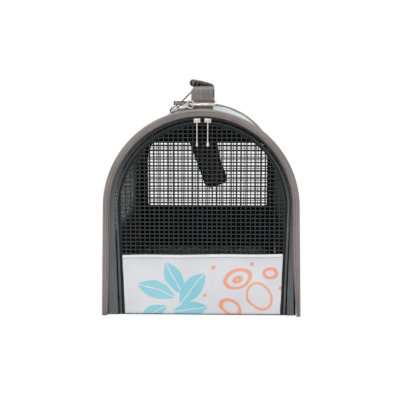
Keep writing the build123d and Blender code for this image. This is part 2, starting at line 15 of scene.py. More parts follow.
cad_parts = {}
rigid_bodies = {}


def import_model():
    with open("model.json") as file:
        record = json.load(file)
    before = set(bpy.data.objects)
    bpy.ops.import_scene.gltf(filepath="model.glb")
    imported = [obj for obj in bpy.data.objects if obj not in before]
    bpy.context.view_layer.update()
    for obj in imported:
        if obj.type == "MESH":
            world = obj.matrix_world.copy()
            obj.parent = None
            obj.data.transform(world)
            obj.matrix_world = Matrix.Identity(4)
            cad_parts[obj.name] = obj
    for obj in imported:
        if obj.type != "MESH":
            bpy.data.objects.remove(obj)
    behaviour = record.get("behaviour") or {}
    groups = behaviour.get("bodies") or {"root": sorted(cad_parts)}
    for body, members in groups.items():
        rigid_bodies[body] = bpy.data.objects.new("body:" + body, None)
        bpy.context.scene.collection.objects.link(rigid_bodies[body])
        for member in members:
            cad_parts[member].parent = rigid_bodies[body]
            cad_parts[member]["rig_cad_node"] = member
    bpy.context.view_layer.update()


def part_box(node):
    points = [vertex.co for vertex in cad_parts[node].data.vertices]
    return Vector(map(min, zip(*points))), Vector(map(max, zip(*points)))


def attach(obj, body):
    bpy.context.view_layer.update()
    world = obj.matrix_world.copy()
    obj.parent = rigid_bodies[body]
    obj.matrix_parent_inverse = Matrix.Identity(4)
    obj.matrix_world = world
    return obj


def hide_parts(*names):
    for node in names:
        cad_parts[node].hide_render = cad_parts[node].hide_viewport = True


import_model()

MM = 0.001
LENGTH, FLOOR_HALF, RADIUS, SPRING = 440.0, 143.0, 139.0, 156.0
DOOR_HALF, DOOR_RADIUS, SHIFT = 116.5, 120.5, 2.0
FRONT, REAR = -214.0, 214.0
ACROSS, ALONG = (1.0, 0.0, 0.0), (0.0, 1.0, 0.0)
SIDES = ((-1, "left"), (1, "right"))
ENDS = ((-1, "front"), (1, "rear"))


def put(name, data):
    """Put a mesh, a lamp or a camera into the scene as an object."""
    obj = bpy.data.objects.new(name, data)
    bpy.context.scene.collection.objects.link(obj)
    return obj


# %% [markdown]
# ## Camera
# The photograph looks at the door end from a little above the roof. A long lens keeps
# the far end large, and the camera is tipped down and turned a little to the left.

# %% Place the camera
view = bpy.data.cameras.new("eye")
view.lens = 69.9
camera = put("eye", view)
camera.location = (0.027, -1.297, 0.324)
camera.rotation_euler = (math.radians(81.8), 0.0, math.radians(1.5))
bpy.context.scene.camera = camera
print("camera at", tuple(camera.location))

# %% [markdown]
# ## A small helper for shader nodes
# The studio, the ground and every finish are trees of shader nodes. The helper keeps
# each tree short: it adds a node, fills or joins its inputs in order, and hands back
# its result.

# %% Make the node helpers
WHITE = (1.0, 1.0, 1.0, 1.0)


def tint(red, green, blue):
    """A colour given from 0 to 255, as the renderer wants it."""
    def line(value):
        share = value / 255.0
        return share / 12.92 if share <= 0.04045 else ((share + 0.055) / 1.055) ** 2.4
    return (line(red), line(green), line(blue), 1.0)


class Tree:
    """A tree of shader nodes, built one short line at a time."""

    def __init__(self, owner, empty=True):
        owner.use_nodes = True
        self.nodes, self.links = owner.node_tree.nodes, owner.node_tree.links
        if empty:
            self.nodes.clear()

    def fill(self, socket, value):
        if isinstance(value, bpy.types.NodeSocket):
            self.links.new(value, socket)
        elif value is not None:
            socket.default_value = value

    def add(self, kind, *values, out=0, **settings):
        node = self.nodes.new(kind)
        for key, value in settings.items():
            setattr(node, key, value)
        for slot, value in enumerate(values):
            self.fill(node.inputs[slot], value)
        return node.outputs[out] if node.outputs else None

    def calc(self, operation, *values):
        return self.add("ShaderNodeMath", *values, operation=operation)

    def ranged(self, value, low, high, to_low=0.0, to_high=1.0):
        return self.add("ShaderNodeMapRange", value, low, high, to_low, to_high)

    def place(self, uv=True):
        """The piece's own map, or the place on the carrier."""
        return self.add("ShaderNodeTexCoord", out=2 if uv else 3)

    def show(self, kind, share, first, second):
        """Mix two lights or surfaces into the tree's output."""
        self.add(kind, self.add("ShaderNodeMixShader", share, first, second))


class Finish(Tree):
    """One material with a principled shader."""

    def __init__(self, name, **settings):
        self.material = bpy.data.materials.new(name)
        super().__init__(self.material, empty=False)
        self.shader = self.nodes["Principled BSDF"]
        for socket, value in settings.items():
            self.shader.inputs[socket.replace("_", " ")].default_value = value

    def split(self, where):
        node = self.nodes.new("ShaderNodeSeparateXYZ")
        self.links.new(where, node.inputs[0])
        return node.outputs

    def grain(self, where, scale, detail=3.0, stretch=(1.0, 1.0, 1.0)):
        spread = self.add("ShaderNodeMapping", where, None, None, stretch)
        return self.add("ShaderNodeTexNoise", spread, None, scale, detail)

    def turns(self, value, pitch):
        """An angle that grows by one whole turn in every pitch millimetres."""
        return self.calc("MULTIPLY", value, 2.0 * math.pi / (pitch * MM))

    def weave(self, where, pitch):
        """Threads over and under each other, from -1 to 1."""
        parts = self.split(where)
        warp, weft = (self.calc("SINE", self.turns(parts[k], pitch)) for k in (0, 1))
        return self.calc("MULTIPLY", warp, weft)

    def blend(self, share, first, second):
        """Mix two colours; each is a socket, or red, green and blue up to 255."""
        node = self.nodes.new("ShaderNodeMix")
        node.data_type = "RGBA"
        for slot, value in ((0, share), (6, first), (7, second)):
            self.fill(node.inputs[slot], tint(*value) if isinstance(value, tuple) else value)
        return node.outputs[2]

    def close(self, colour, height, strength, depth, rough):
        """Join the colour, the relief and the roughness to the shader."""
        bump = self.nodes.new("ShaderNodeBump")
        for node, socket, value in (
            (bump, "Strength", strength), (bump, "Distance", depth), (bump, "Height", height),
            (self.shader, "Base Color", colour), (self.shader, "Roughness", rough),
            (self.shader, "Normal", bump.outputs["Normal"]),
        ):
            self.fill(node.inputs[socket], value)
        return self.material


print("node helpers ready")

# %% [markdown]
# ## Light
# A studio cut-out has a white ground and light from all round. The world looks white
# to the camera and to polished metal, and gives the cloth a plainer grey light. Two
# broad lamps add a soft direction, so folds and ribs still show.

# %% Light the studio
def studio_world():
    world = bpy.data.worlds.new("studio")
    tree = Tree(world)
    path = tree.nodes.new("ShaderNodeLightPath").outputs
    seen = tree.calc("MAXIMUM", path["Is Camera Ray"], path["Is Glossy Ray"])
    seen = tree.calc("MAXIMUM", seen, path["Is Transmission Ray"])
    soft = tree.add("ShaderNodeBackground", (0.94, 0.97, 1.0, 1.0), 0.62)
    white = tree.add("ShaderNodeBackground", WHITE, 1.0)
    tree.show("ShaderNodeOutputWorld", seen, soft, white)
    return world


def lamp(name, place, size, power):
    data = bpy.data.lights.new(name, "AREA")
    data.size, data.energy = size, power
    obj = put(name, data)
    obj.location = place
    obj.rotation_euler = (-Vector(place)).to_track_quat("-Z", "Y").to_euler()


bpy.context.scene.world = studio_world()
lamp("front_lamp", (-1.1, -2.4, 1.9), size=1.6, power=25.0)
lamp("top_lamp", (0.6, -0.1, 2.7), size=2.0, power=36.0)
bpy.context.scene.view_settings.view_transform = "Standard"
print("lamps", len(bpy.data.lights))

# %% [markdown]
# ## Webbing and plain weaves
# Webbing is woven with thick lengthwise yarns and a fine cross yarn that shows between
# them. Two sine waves that follow the piece's own map give the ribs and the picks, and
# a long noise gives the worn streaks that run along a binding.

# %% Mix the webbing and the plain weaves
# Painted shade: the zip's tape and coil darken towards the top of the arch, where the rim shades
# them.
RIM_SHADE_LOW, RIM_SHADE_HIGH, RIM_SHADE_MOST = 0.15, 0.26, 0.85


def shaded_under_rim(f, colour, rim_shade):
    """Painted shade: darken a colour towards the top of the arch, from the legs' height up, where
    the rim shades the zip.
    """
    if rim_shade is None:
        return colour
    height = f.split(f.place(uv=False))[2]
    return f.blend(f.ranged(height, RIM_SHADE_LOW, RIM_SHADE_HIGH, 0.0, RIM_SHADE_MOST), colour, rim_shade)


def webbing_finish(name, dark, light, rib, pick, streak, rim_shade=None):
    f = Finish(
        name, Roughness=0.86, Sheen_Weight=0.25, Sheen_Roughness=0.5, Specular_IOR_Level=0.25,
    )
    where = f.place()
    along, across, _ = f.split(where)
    turn = f.turns(across, rib)
    ribs = f.calc("ABSOLUTE", f.calc("SINE", f.calc("MULTIPLY", turn, 0.5)))
    lean = f.calc("MULTIPLY_ADD", f.calc("SINE", turn), 1.2, f.turns(along, pick))
    picks = f.calc("MULTIPLY_ADD", f.calc("SINE", lean), 0.5, 0.5)
    streaks = f.grain(where, 260.0, 4.0, (0.035, 1.0, 1.0))
    patches = f.grain(where, 28.0)
    height = f.calc("MULTIPLY_ADD", picks, 0.45, ribs)
    shade = f.calc("MULTIPLY_ADD", streaks, streak, f.calc("MULTIPLY", height, 0.28))
    shade = f.calc("MULTIPLY_ADD", patches, 0.35, shade)
    # The optional last colour is painted shade, laid on towards the top of the arch.
    colour = shaded_under_rim(f, f.blend(f.ranged(shade, 0.30, 0.95), dark, light), rim_shade)
    return f.close(colour, height, 0.55, 0.0006, f.ranged(streaks, 0.3, 0.7, 0.78, 0.93))


def weave_finish(name, dark, light, pitch, sheen, strength=0.4):
    f = Finish(name, Roughness=0.88, Sheen_Weight=sheen, Specular_IOR_Level=0.3)
    where = f.place()
    height = f.calc("MULTIPLY_ADD", f.weave(where, pitch), 0.5, 0.5)
    patches = f.grain(where, 22.0, 5.0)
    shade = f.calc("MULTIPLY_ADD", patches, 0.7, f.calc("MULTIPLY", height, 0.3))
    colour = f.blend(f.ranged(shade, 0.25, 0.75), dark, light)
    return f.close(colour, height, strength, 0.0004, f.ranged(patches, 0.3, 0.7, 0.8, 0.95))


BINDING = webbing_finish(
    "binding_webbing", (68, 61, 58), (147, 138, 134), rib=2.6, pick=1.1, streak=0.75,
)
WEBBING = webbing_finish(
    "strap_webbing", (64, 57, 54), (149, 141, 137), rib=2.2, pick=1.3, streak=0.5,
)
# The zip tape's last colour is painted shade under the rim, towards the top of the arch.
TAPE = webbing_finish(
    "zip_tape", (60, 63, 66), (126, 129, 132), rib=1.1, pick=0.8, streak=0.6, rim_shade=(30, 31, 33),
)
DARK = weave_finish("black_lining", (6, 6, 7), (16, 16, 18), 0.9, 0.04)
EDGING = weave_finish("black_edging", (9, 9, 10), (30, 30, 32), 0.8, 0.15, 0.6)
HEM = weave_finish("pale_hem", (226, 226, 228), (247, 247, 248), 0.7, 0.1, 0.3)
MAT = weave_finish("mat_cloth", (14, 15, 17), (35, 37, 40), 1.6, 0.6, 0.8)
THREAD = weave_finish("sewing_thread", (128, 126, 126), (176, 174, 174), 0.5, 0.2, 0.6)
DARK_THREAD = weave_finish("dark_thread", (40, 40, 42), (78, 78, 80), 0.5, 0.2, 0.6)
print("weaves", len(bpy.data.materials))

# %% [markdown]
# ## Net, metal and moulded plastic
# The net is a yarn dipped in soft plastic, so it is dark with a weak broad shine. The
# rings, hooks and pulls are nickel plate, with fine scratches and a faint warm haze
# where hands have rubbed them.

# %% Mix the net, the metal and the plastic
def net_finish(name, dark, light):
    f = Finish(name, Roughness=0.55, Specular_IOR_Level=0.45, Coat_Weight=0.15)
    where = f.place(uv=False)
    fuzz, patches = f.grain(where, 900.0), f.grain(where, 25.0)
    shade = f.calc("MULTIPLY_ADD", patches, 0.7, f.calc("MULTIPLY", fuzz, 0.4))
    colour = f.blend(f.ranged(shade, 0.35, 0.8), dark, light)
    return f.close(colour, fuzz, 0.3, 0.0003, f.ranged(fuzz, 0.3, 0.7, 0.45, 0.65))


def metal_finish(name, base, warm, rough):
    f = Finish(name, Metallic=1.0, Roughness=rough)
    where = f.place(uv=False)
    scratches = f.grain(where, 700.0, 4.0, (1.0, 0.12, 0.2))
    colour = f.blend(f.ranged(f.grain(where, 120.0), 0.42, 0.66), base, warm)
    spread = f.ranged(scratches, 0.3, 0.75, rough * 0.7, rough * 1.6)
    return f.close(colour, scratches, 0.12, 0.0001, spread)


def moulded_finish(name, dark, light, rough, size, rim_shade=None):
    f = Finish(name, Roughness=rough, Specular_IOR_Level=0.5)
    where = f.place(uv=False)
    pits, wear = f.grain(where, size, 2.0), f.grain(where, 60.0, 4.0)
    # The optional last colour is painted shade, laid on towards the top of the arch.
    colour = shaded_under_rim(f, f.blend(f.ranged(wear, 0.35, 0.7), dark, light), rim_shade)
    return f.close(colour, pits, 0.2, 0.0002, f.ranged(wear, 0.3, 0.7, rough * 0.8, rough * 1.3))


NET = net_finish("coated_net", (8, 9, 10), (35, 37, 39))
NICKEL = metal_finish("nickel_plate", (222, 218, 214), (212, 186, 170), 0.27)
# The nylon coil's last colour is painted shade under the rim, towards the top of the arch.
COIL = moulded_finish("nylon_coil", (58, 60, 62), (112, 115, 118), 0.42, 900.0, (24, 25, 27))
BLACK_PLASTIC = moulded_finish("black_plastic", (22, 22, 23), (44, 44, 46), 0.4, 1400.0)
ROD = moulded_finish("hoop_rod", (206, 206, 196), (226, 226, 216), 0.5, 500.0)
BOARD = moulded_finish("base_sheet", (60, 60, 62), (80, 80, 82), 0.6, 300.0)
print("finishes", len(bpy.data.materials))

# %% [markdown]
# ## The printed cloth
# The pale panels carry a print of our own: blue leaf sprays and orange outlined
# pebbles, which repeat over the sides and the roof. A leaf is the space between two
# curves, so a mapped point needs one sum to know if it is inside. No picture is needed,
# and the print stays sharp at any size.

# %% Mix the printed cloth
# Leaves and pebbles: middle x and y, half length, half width, angle. Spots: x, y, size.
LEAVES = [
    (-52.0, 20.0, 27.0, 12.5, 118.0), (-27.0, 4.0, 30.0, 13.0, 52.0),
    (-78.0, 2.0, 29.0, 13.0, 158.0), (-30.0, -27.0, 27.0, 11.5, 8.0),
    (-84.0, -33.0, 24.0, 11.0, 205.0),
]
PEBBLES = [
    (38.0, 18.0, 22.0, 15.0, 20.0), (70.0, -8.0, 17.0, 23.0, 28.0),
    (29.0, -24.0, 18.0, 12.0, -28.0), (84.0, 27.0, 12.0, 9.0, 5.0),
    (66.0, -43.0, 14.0, 9.5, 12.0), (38.0, 18.0, 9.0, 5.5, 20.0),
]
SPOTS = [
    (4.0, 34.0, 3.2), (8.0, -48.0, 3.6), (100.0, 6.0, 3.4), (-8.0, -6.0, 2.8), (58.0, 40.0, 3.0),
]
TILE_U, TILE_V = 0.118, 0.066
WOBBLE, OUTLINE = 9.0, 2.3


def print_finish(name, ground, shade, shift):
    """Pale coated cloth with the leaf and pebble print, moved by the shift."""
    f = Finish(name, Roughness=0.62, Sheen_Weight=0.1, Specular_IOR_Level=0.35)
    where = f.place()

    def vectors(operation, *values, out=0):
        return f.add("ShaderNodeVectorMath", *values, operation=operation, out=out)

    def local(x, y, rx, ry, angle):
        spot = ((x + WOBBLE / 2) * MM, (y + WOBBLE / 2) * MM, 0.0)
        turn, size = (0.0, 0.0, math.radians(angle)), (rx * MM, ry * MM, 1.0)
        return f.add("ShaderNodeMapping", tile, spot, turn, size, vector_type="TEXTURE")

    def most(shares):
        total = shares[0]
        for share in shares[1:]:
            total = f.calc("MAXIMUM", total, share)
        return total

    moved = vectors("ADD", where, (shift[0] * MM, shift[1] * MM, 0.0))
    tile = vectors("WRAP", moved, (TILE_U, TILE_V, 1.0), (-TILE_U, -TILE_V, -1.0))
    wander = f.add("ShaderNodeTexNoise", tile, None, 26.0, 2.0, out=1)
    tile = vectors("MULTIPLY_ADD", wander, (WOBBLE * MM, WOBBLE * MM, 0.0), tile)
    blue, orange = [], []
    for leaf in LEAVES:
        parts = f.split(local(*leaf))
        side = f.calc("ABSOLUTE", parts[1])
        body = f.ranged(f.calc("MULTIPLY_ADD", parts[0], parts[0], side), 1.03, 0.98)
        blue.append(f.calc("MULTIPLY", body, f.ranged(side, 0.05, 0.08)))
    for pebble in PEBBLES:
        width = OUTLINE / pebble[3]
        reach = vectors("LENGTH", local(*pebble), out=1)
        off = f.calc("ABSOLUTE", f.calc("SUBTRACT", reach, 1.0 - width))
        orange.append(f.ranged(off, width, width * 0.8))
    for x, y, size in SPOTS:
        orange.append(f.ranged(vectors("LENGTH", local(x, y, size, size, 0.0), out=1), 1.03, 0.95))
    cloudy = f.grain(where, 14.0, 4.0)
    faded = f.ranged(cloudy, 0.3, 0.7)
    colour = f.blend(f.ranged(cloudy, 0.35, 0.7), ground, shade)
    colour = f.blend(most(blue), colour, f.blend(faded, (132, 203, 217), (160, 214, 223)))
    colour = f.blend(most(orange), colour, f.blend(faded, (240, 158, 122), (242, 182, 158)))
    creases = f.grain(where, 34.0, 5.0, (1.0, 0.45, 1.0))
    height = f.calc("MULTIPLY_ADD", f.weave(where, 0.6), 0.1, creases)
    return f.close(colour, height, 0.35, 0.0011, f.ranged(creases, 0.3, 0.7, 0.55, 0.7))


PRINT = print_finish("printed_cloth", (218, 217, 220), (229, 228, 230), (-14.0, -36.0))
ROOF_PRINT = print_finish("printed_roof", (193, 204, 201), (209, 216, 214), (40.0, 20.0))
print("print motifs", len(LEAVES) + len(PEBBLES) + len(SPOTS))

# %% [markdown]
# ## Lines round the arch
# Every seam of the tunnel runs up one leaning leg, over a half circle and down the
# other leg. One function gives that line at any distance inside the shell or outside
# the door, with the same number of steps, so two lines can always be joined into a
# strip.

# %% Draw the arch lines
LEG_STEPS, ARC_STEPS = 26, 84


def leg_half(half, radius, z):
    """Half width of a leaning leg at height z."""
    return half + (radius - half) * z / SPRING


def arch_half(half, radius, z):
    """Half width of a whole arch at height z."""
    if z <= SPRING:
        return leg_half(half, radius, z)
    return math.sqrt(max(radius * radius - (z - SPRING) ** 2, 0.0))


def arch_reach(half, radius, centre, x, z):
    """How far a point lies inside the arch; below zero is outside."""
    if z <= SPRING:
        return leg_half(half, radius, z) - abs(x - centre)
    return radius - math.hypot(x - centre, z - SPRING)


def arch_line(half, radius, centre, low):
    """Points (x, z) from the left foot over the top to the right foot."""
    left = []
    for step in range(LEG_STEPS):
        z = low + (SPRING - low) * step / LEG_STEPS
        left.append((-leg_half(half, radius, z), z))
    arc = []
    for step in range(ARC_STEPS + 1):
        angle = math.pi * (1.0 - step / ARC_STEPS)
        arc.append((radius * math.cos(angle), SPRING + radius * math.sin(angle)))
    right = [(-x, z) for x, z in reversed(left)]
    return [(centre + x, z) for x, z in left + arc + right]


def shell_line(inset, low=0.0):
    return arch_line(FLOOR_HALF - inset, RADIUS - inset, 0.0, low)


def door_line(outset, low=2.0):
    return arch_line(DOOR_HALF + outset, DOOR_RADIUS + outset, SHIFT, low)


def ripple(a, b, size, seed=0.0):
    """Smooth unevenness from -1 to 1 over a cloth of two directions."""
    return noise.noise(Vector((a / size, b / size, seed)))


def steps(low, high, size):
    """Even steps of about one size from low to high, both included."""
    count = max(1, round((high - low) / size))
    return [low + (high - low) * k / count for k in range(count + 1)]


def round_turn(count):
    return [2 * math.pi * k / count for k in range(count)]


def boxy(value, power):
    """A sine or cosine with its shoulders pushed out, for a squarer outline."""
    return math.copysign(abs(value) ** power, value)


print("steps along an arch", len(shell_line(0.0)))

# %% [markdown]
# ## Making a mesh
# A swept band is a stack of closed outlines joined side to side. The map runs in metres
# along the band and across it, so a weave keeps its real size on every piece. The ends
# are closed, and the faces are turned outwards.

# %% Make the mesh helpers
def dress(name, mesh, finishes, body, nodes=(), slot=None, smooth=True):
    """Put a mesh into the scene on its body, in place of its nodes."""
    obj = put(name, mesh)
    for finish in finishes if isinstance(finishes, (list, tuple)) else [finishes]:
        if finish.name not in [m.name for m in mesh.materials if m]:
            mesh.materials.append(finish)
    for face in mesh.polygons:
        face.use_smooth = smooth
    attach(obj, body)
    if nodes:
        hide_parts(*nodes)
    return obj


def plain_mesh(name, bm):
    mesh = bpy.data.meshes.new(name)
    bm.to_mesh(mesh)
    bm.free()
    return mesh


def finish_mesh(name, bm, *rest, **more):
    return dress(name, plain_mesh(name, bm), *rest, **more)


def walked(points):
    """How far each point lies along its line."""
    far = [0.0]
    for one, two in zip(points, points[1:]):
        far.append(far[-1] + (Vector(two) - Vector(one)).length)
    return far


def sweep(rings, across=None, closed=False):
    """Join closed outlines (in millimetres) into one closed skin with a map in metres."""
    bm = bmesh.new()
    uv = bm.loops.layers.uv.verify()
    count, last = len(rings[0]), len(rings) - 1
    lengths = walked([ring[0] for ring in rings])
    if across is None:
        across = walked(list(rings[0]) + [rings[0][0]])
    else:
        across = list(across) + [across[0]]
    verts = [[bm.verts.new(Vector(p) * MM) for p in ring] for ring in rings]
    for i in range(len(rings) if closed else last):
        j = (i + 1) % len(rings)
        for k in range(count):
            m = (k + 1) % count
            face = bm.faces.new((verts[i][k], verts[i][m], verts[j][m], verts[j][k]))
            marks = ((i, k), (i, k + 1), (i + 1, k + 1), (i + 1, k))
            for loop, (row, column) in zip(face.loops, marks):
                loop[uv].uv = (lengths[min(row, last)] * MM, across[column] * MM)
    for ring in () if closed else (verts[0], verts[-1]):
        hub = bm.verts.new(sum((v.co for v in ring), Vector()) / count)
        for k in range(count):
            face = bm.faces.new((ring[k], ring[(k + 1) % count], hub))
            for loop in face.loops:
                loop[uv].uv = (loop.vert.co.x + loop.vert.co.y, loop.vert.co.z)
    bmesh.ops.recalc_face_normals(bm, faces=bm.faces)
    return bm


def smooth_line(points, step=3.0):
    """A smooth curve through the points, with any extra numbers carried along."""
    out = []
    padded = [points[0]] + list(points) + [points[-1]]
    for a, b, c, d in zip(padded, padded[1:], padded[2:], padded[3:]):
        count = max(1, round(math.dist(b[:3], c[:3]) / step))
        for k in range(count):
            t = k / count
            out.append([
                0.5 * (2 * q + (r - p) * t + (2 * p - 5 * q + 4 * r - s) * t * t
                       + (3 * q - p - 3 * r + s) * t ** 3)
                for p, q, r, s in zip(a, b, c, d)
            ])
    out.append(list(points[-1]))
    return out


def runs(line, closed=False):
    """Each point of a line, with the way that the line runs there."""
    for i, p in enumerate(line):
        before = line[i - 1] if i or closed else p
        after = line[(i + 1) % len(line)] if closed or i + 1 < len(line) else p
        yield p, Vector(after[:3]) - Vector(before[:3])


def oval(middle, side, up, width, thick, power, count):
    """Points round a middle; a power below one makes the outline squarer."""
    return [
        middle + side * boxy(math.cos(turn), power) * width / 2
        + up * boxy(math.sin(turn), power) * thick / 2
        for turn in round_turn(count)
    ]


def ribbon(points, width, thick, step=3.0):
    """A flat strap: each point has a place and the direction of its width."""
    columns = 8
    shares = [2 * k / columns - 1 for k in range(columns + 1)]
    rings = []
    for p, run in runs(smooth_line(points, step)):
        wide = Vector(p[3:6]).normalized()
        up = run.cross(wide).normalized()
        ring = []
        for side in (1, -1):
            for share in (share * side for share in shares):
                lift = (1.0 - 0.75 * abs(share) ** 8) * thick / 2 * side
                ring.append(Vector(p[:3]) + wide * share * width / 2 + up * lift)
        rings.append(ring)
    half = [share * width / 2 for share in shares]
    return sweep(rings, half + half[::-1])


def strap(name, points, width, thick, step, body, *nodes):
    """A flat strap of webbing in place of its nodes."""
    return finish_mesh(name, ribbon(points, width, thick, step), WEBBING, body, nodes, "webbing")


print("mesh helpers ready")

# %% [markdown]
# ## Repeats with Geometry Nodes
# Two trees are reused all over the carrier. The first sweeps a yarn along every drawn
# line, which makes the nets. The second sets a bead at even steps along a line, and
# makes the stitches and the zip's coils. Both end in Realize Instances and Set
# Material, because an exported model keeps only real faces.

# %% Build the two trees
def link_all(tree, *rows):
    """Each row is a node, its output, the next node and its input."""
    for one, output, two, into in rows:
        tree.links.new(one.outputs[output], two.inputs[into])


def start_tree(name, **inputs):
    """A tree that makes curves of drawn edges, and ends in real faces with a finish."""
    tree = bpy.data.node_groups.new(name, "GeometryNodeTree")
    inputs = {"Geometry": "Geometry", **inputs, "Facing": "Vector", "Finish": "Material"}
    for label, kind in inputs.items():
        tree.interface.new_socket(label, in_out="INPUT", socket_type=f"NodeSocket{kind}")
    tree.interface.new_socket("Geometry", in_out="OUTPUT", socket_type="NodeSocketGeometry")
    new = tree.nodes.new
    source, sink = new("NodeGroupInput"), new("NodeGroupOutput")
    line, facing = new("GeometryNodeMeshToCurve"), new("GeometryNodeSetCurveNormal")
    real, cover = new("GeometryNodeRealizeInstances"), new("GeometryNodeSetMaterial")
    facing.mode = "FREE"
    link_all(
        tree, (source, "Geometry", line, 0), (line, 0, facing, 0),
        (source, "Facing", facing, "Normal"), (real, 0, cover, "Geometry"),
        (source, "Finish", cover, "Material"), (cover, 0, sink, 0),
    )
    return tree, source, facing, real


def yarn_tree():
    """Lines become yarns of one width and thickness that face one way."""
    tree, source, line, real = start_tree("yarns", Width="Float", Thickness="Float", Sides="Int")
    new = tree.nodes.new
    ring, size = new("GeometryNodeCurvePrimitiveCircle"), new("GeometryNodeTransform")
    scale, skin = new("ShaderNodeCombineXYZ"), new("GeometryNodeCurveToMesh")
    ring.inputs["Radius"].default_value = 0.5
    scale.inputs["Z"].default_value = 1.0
    skin.inputs["Fill Caps"].default_value = True
    link_all(
        tree, (source, "Sides", ring, "Resolution"), (ring, 0, size, "Geometry"),
        (source, "Thickness", scale, "X"), (source, "Width", scale, "Y"),
        (scale, 0, size, "Scale"), (line, 0, skin, 0), (size, 0, skin, "Profile Curve"),
        (skin, 0, real, 0),
    )
    return tree


def bead_tree():
    """One bead at every even step of a line, turned along it."""
    tree, source, line, real = start_tree("beads", Bead="Object", Spacing="Float")
    new = tree.nodes.new
    even, bead = new("GeometryNodeResampleCurve"), new("GeometryNodeObjectInfo")
    along, normal = new("GeometryNodeInputTangent"), new("GeometryNodeInputNormal")
    each, turn = new("GeometryNodeInstanceOnPoints"), new("FunctionNodeAxesToRotation")
    even.mode = "LENGTH"
    turn.primary_axis, turn.secondary_axis = "X", "Z"
    link_all(
        tree, (line, 0, even, 0), (source, "Spacing", even, "Length"),
        (source, "Bead", bead, "Object"), (even, 0, each, "Points"),
        (bead, "Geometry", each, "Instance"), (along, 0, turn, "Primary Axis"),
        (normal, 0, turn, "Secondary Axis"), (turn, 0, each, "Rotation"), (each, 0, real, 0),
    )
    return tree


def evaluated(obj):
    """The object's mesh with its modifiers worked out."""
    held = obj.evaluated_get(bpy.context.evaluated_depsgraph_get())
    return bpy.data.meshes.new_from_object(held)


def run_tree(name, tree, lines, values, finish, body, nodes=(), slot=None):
    """Draw the lines (in millimetres) as edges, run the tree and keep the plain mesh."""
    drawn = bpy.data.meshes.new(f"{name}_lines")
    points, edges = [], []
    for line in lines:
        first = len(points)
        points.extend(Vector(p) * MM for p in line)
        edges.extend((first + k, first + k + 1) for k in range(len(line) - 1))
    drawn.from_pydata(points, edges, [])
    holder = put(f"{name}_lines", drawn)
    modifier = holder.modifiers.new("tree", "NODES")
    modifier.node_group = tree
    for label, value in {**values, "Finish": finish}.items():
        modifier[tree.interface.items_tree[label].identifier] = value
    mesh = evaluated(holder)
    mesh.name = name
    bpy.data.objects.remove(holder)
    bpy.data.meshes.remove(drawn)
    return dress(name, mesh, finish, body, nodes, slot)


YARNS, BEADS = yarn_tree(), bead_tree()
print("trees", YARNS.name, BEADS.name)

# %% [markdown]
# ## What the bead tree repeats
# A stitch is a long grain of thread, and a zip's coil is one open loop of nylon. Each is
# drawn once and kept out of the scene.

# %% Draw a stitch and a loop of coil
def thread_grain(length, width, high):
    bm = bmesh.new()
    bmesh.ops.create_uvsphere(bm, u_segments=6, v_segments=4, radius=0.5)
    bmesh.ops.rotate(bm, verts=bm.verts, matrix=Matrix.Rotation(math.pi / 2, 3, "Y"))
    bmesh.ops.scale(bm, verts=bm.verts, vec=Vector((length, width, high)) * MM)
    return bm


def nylon_loop(width, high, thread):
    rings = []
    for angle in round_turn(10):
        c, s = math.cos(angle), math.sin(angle)
        middle, away = Vector((0.25 * s, c * width / 2, s * high / 2)), Vector((0, c, s))
        rings.append(oval(middle, away, Vector(ACROSS), thread, thread, 1.0, 4))
    return sweep(rings, closed=True)


def spare(name, bm):
    mesh = plain_mesh(name, bm)
    for face in mesh.polygons:
        face.use_smooth = True
    return bpy.data.objects.new(name, mesh)


def stitch(name, lines, facing, finish=THREAD, body="shell", pitch=3.6):
    """Rows of sewn stitches that ride with their cloth."""
    values = {"Bead": STITCH, "Spacing": pitch * MM, "Facing": facing}
    return run_tree(name, BEADS, lines, values, finish, body)


STITCH = spare("stitch", thread_grain(2.6, 0.55, 0.5))
COIL_LOOP = spare("coil_loop", nylon_loop(1.3, 1.4, 0.55))
print("loop faces", len(COIL_LOOP.data.polygons))

# %% [markdown]
# ## The two rims
# A rim is webbing folded over a sprung rod and sewn through, so it looks like a soft
# tube that is flatter than it is wide. It is swept round the arch with an outline that
# wanders a little, and it narrows at the feet, where the fold is turned in and sewn.

# %% Sew the rims
RIM_HALF, RIM_DEPTH, RIM_SIDES = 5.0, 7.0, 22
TAPER_TOP, TAPER_LEFT, TAPER_RIGHT = 70.0, 0.35, 0.95


def rim_rings(sign):
    """Outlines of a folded binding, one for each step round the arch."""
    columns = []
    for k, angle in enumerate(round_turn(RIM_SIDES)):
        inset = RIM_HALF + RIM_HALF * boxy(math.cos(angle), 0.75)
        depth = RIM_DEPTH * boxy(math.sin(angle), 0.72)
        column = []
        for x, z in shell_line(inset):
            out, taper = (-1, TAPER_LEFT) if x < 0 else (1, TAPER_RIGHT)
            pinch = max(0.0, 1.0 - z / TAPER_TOP) * taper * (inset / (2 * RIM_HALF)) ** 1.5
            wander = 0.35 * ripple(x + z, k * 3.0, 24.0, sign) * (0.3 + inset / 14.0)
            tip = max(0.0, 1.0 - z / 6.0) ** 2
            y = sign * (LENGTH / 2 - RIM_DEPTH - abs(wander) * 0.5) + depth * (1.0 - 0.35 * tip)
            y = max(-LENGTH / 2, min(LENGTH / 2, y))
            column.append((x + out * (pinch * 4.0 - wander * 0.5), y, z))
        columns.append(column)
    return list(zip(*columns))


for sign, end in ENDS:
    rim = sweep(rim_rings(sign))
    finish_mesh(f"{end}_rim", rim, BINDING, "shell", [f"{end}_rim_binding"], "binding")
    row = [(x, sign * (LENGTH / 2 + 0.05), z) for x, z in shell_line(7.6, 6.0)]
    stitch(f"{end}_rim_inner_stitches", [row], (0.0, float(sign), 0.0))
print("stitched rims", len(ENDS))

# %% [markdown]
# ## The zip
# The zip has one knitted tape on the shell and one on the door, with raised ribs where
# the tape is folded over its cord. Between them lie two nylon coils. A coil is one loop
# repeated several hundred times, so the bead tree sets the loops along the seam.

# %% Make the zip
TAPE_Y = FRONT + 0.7


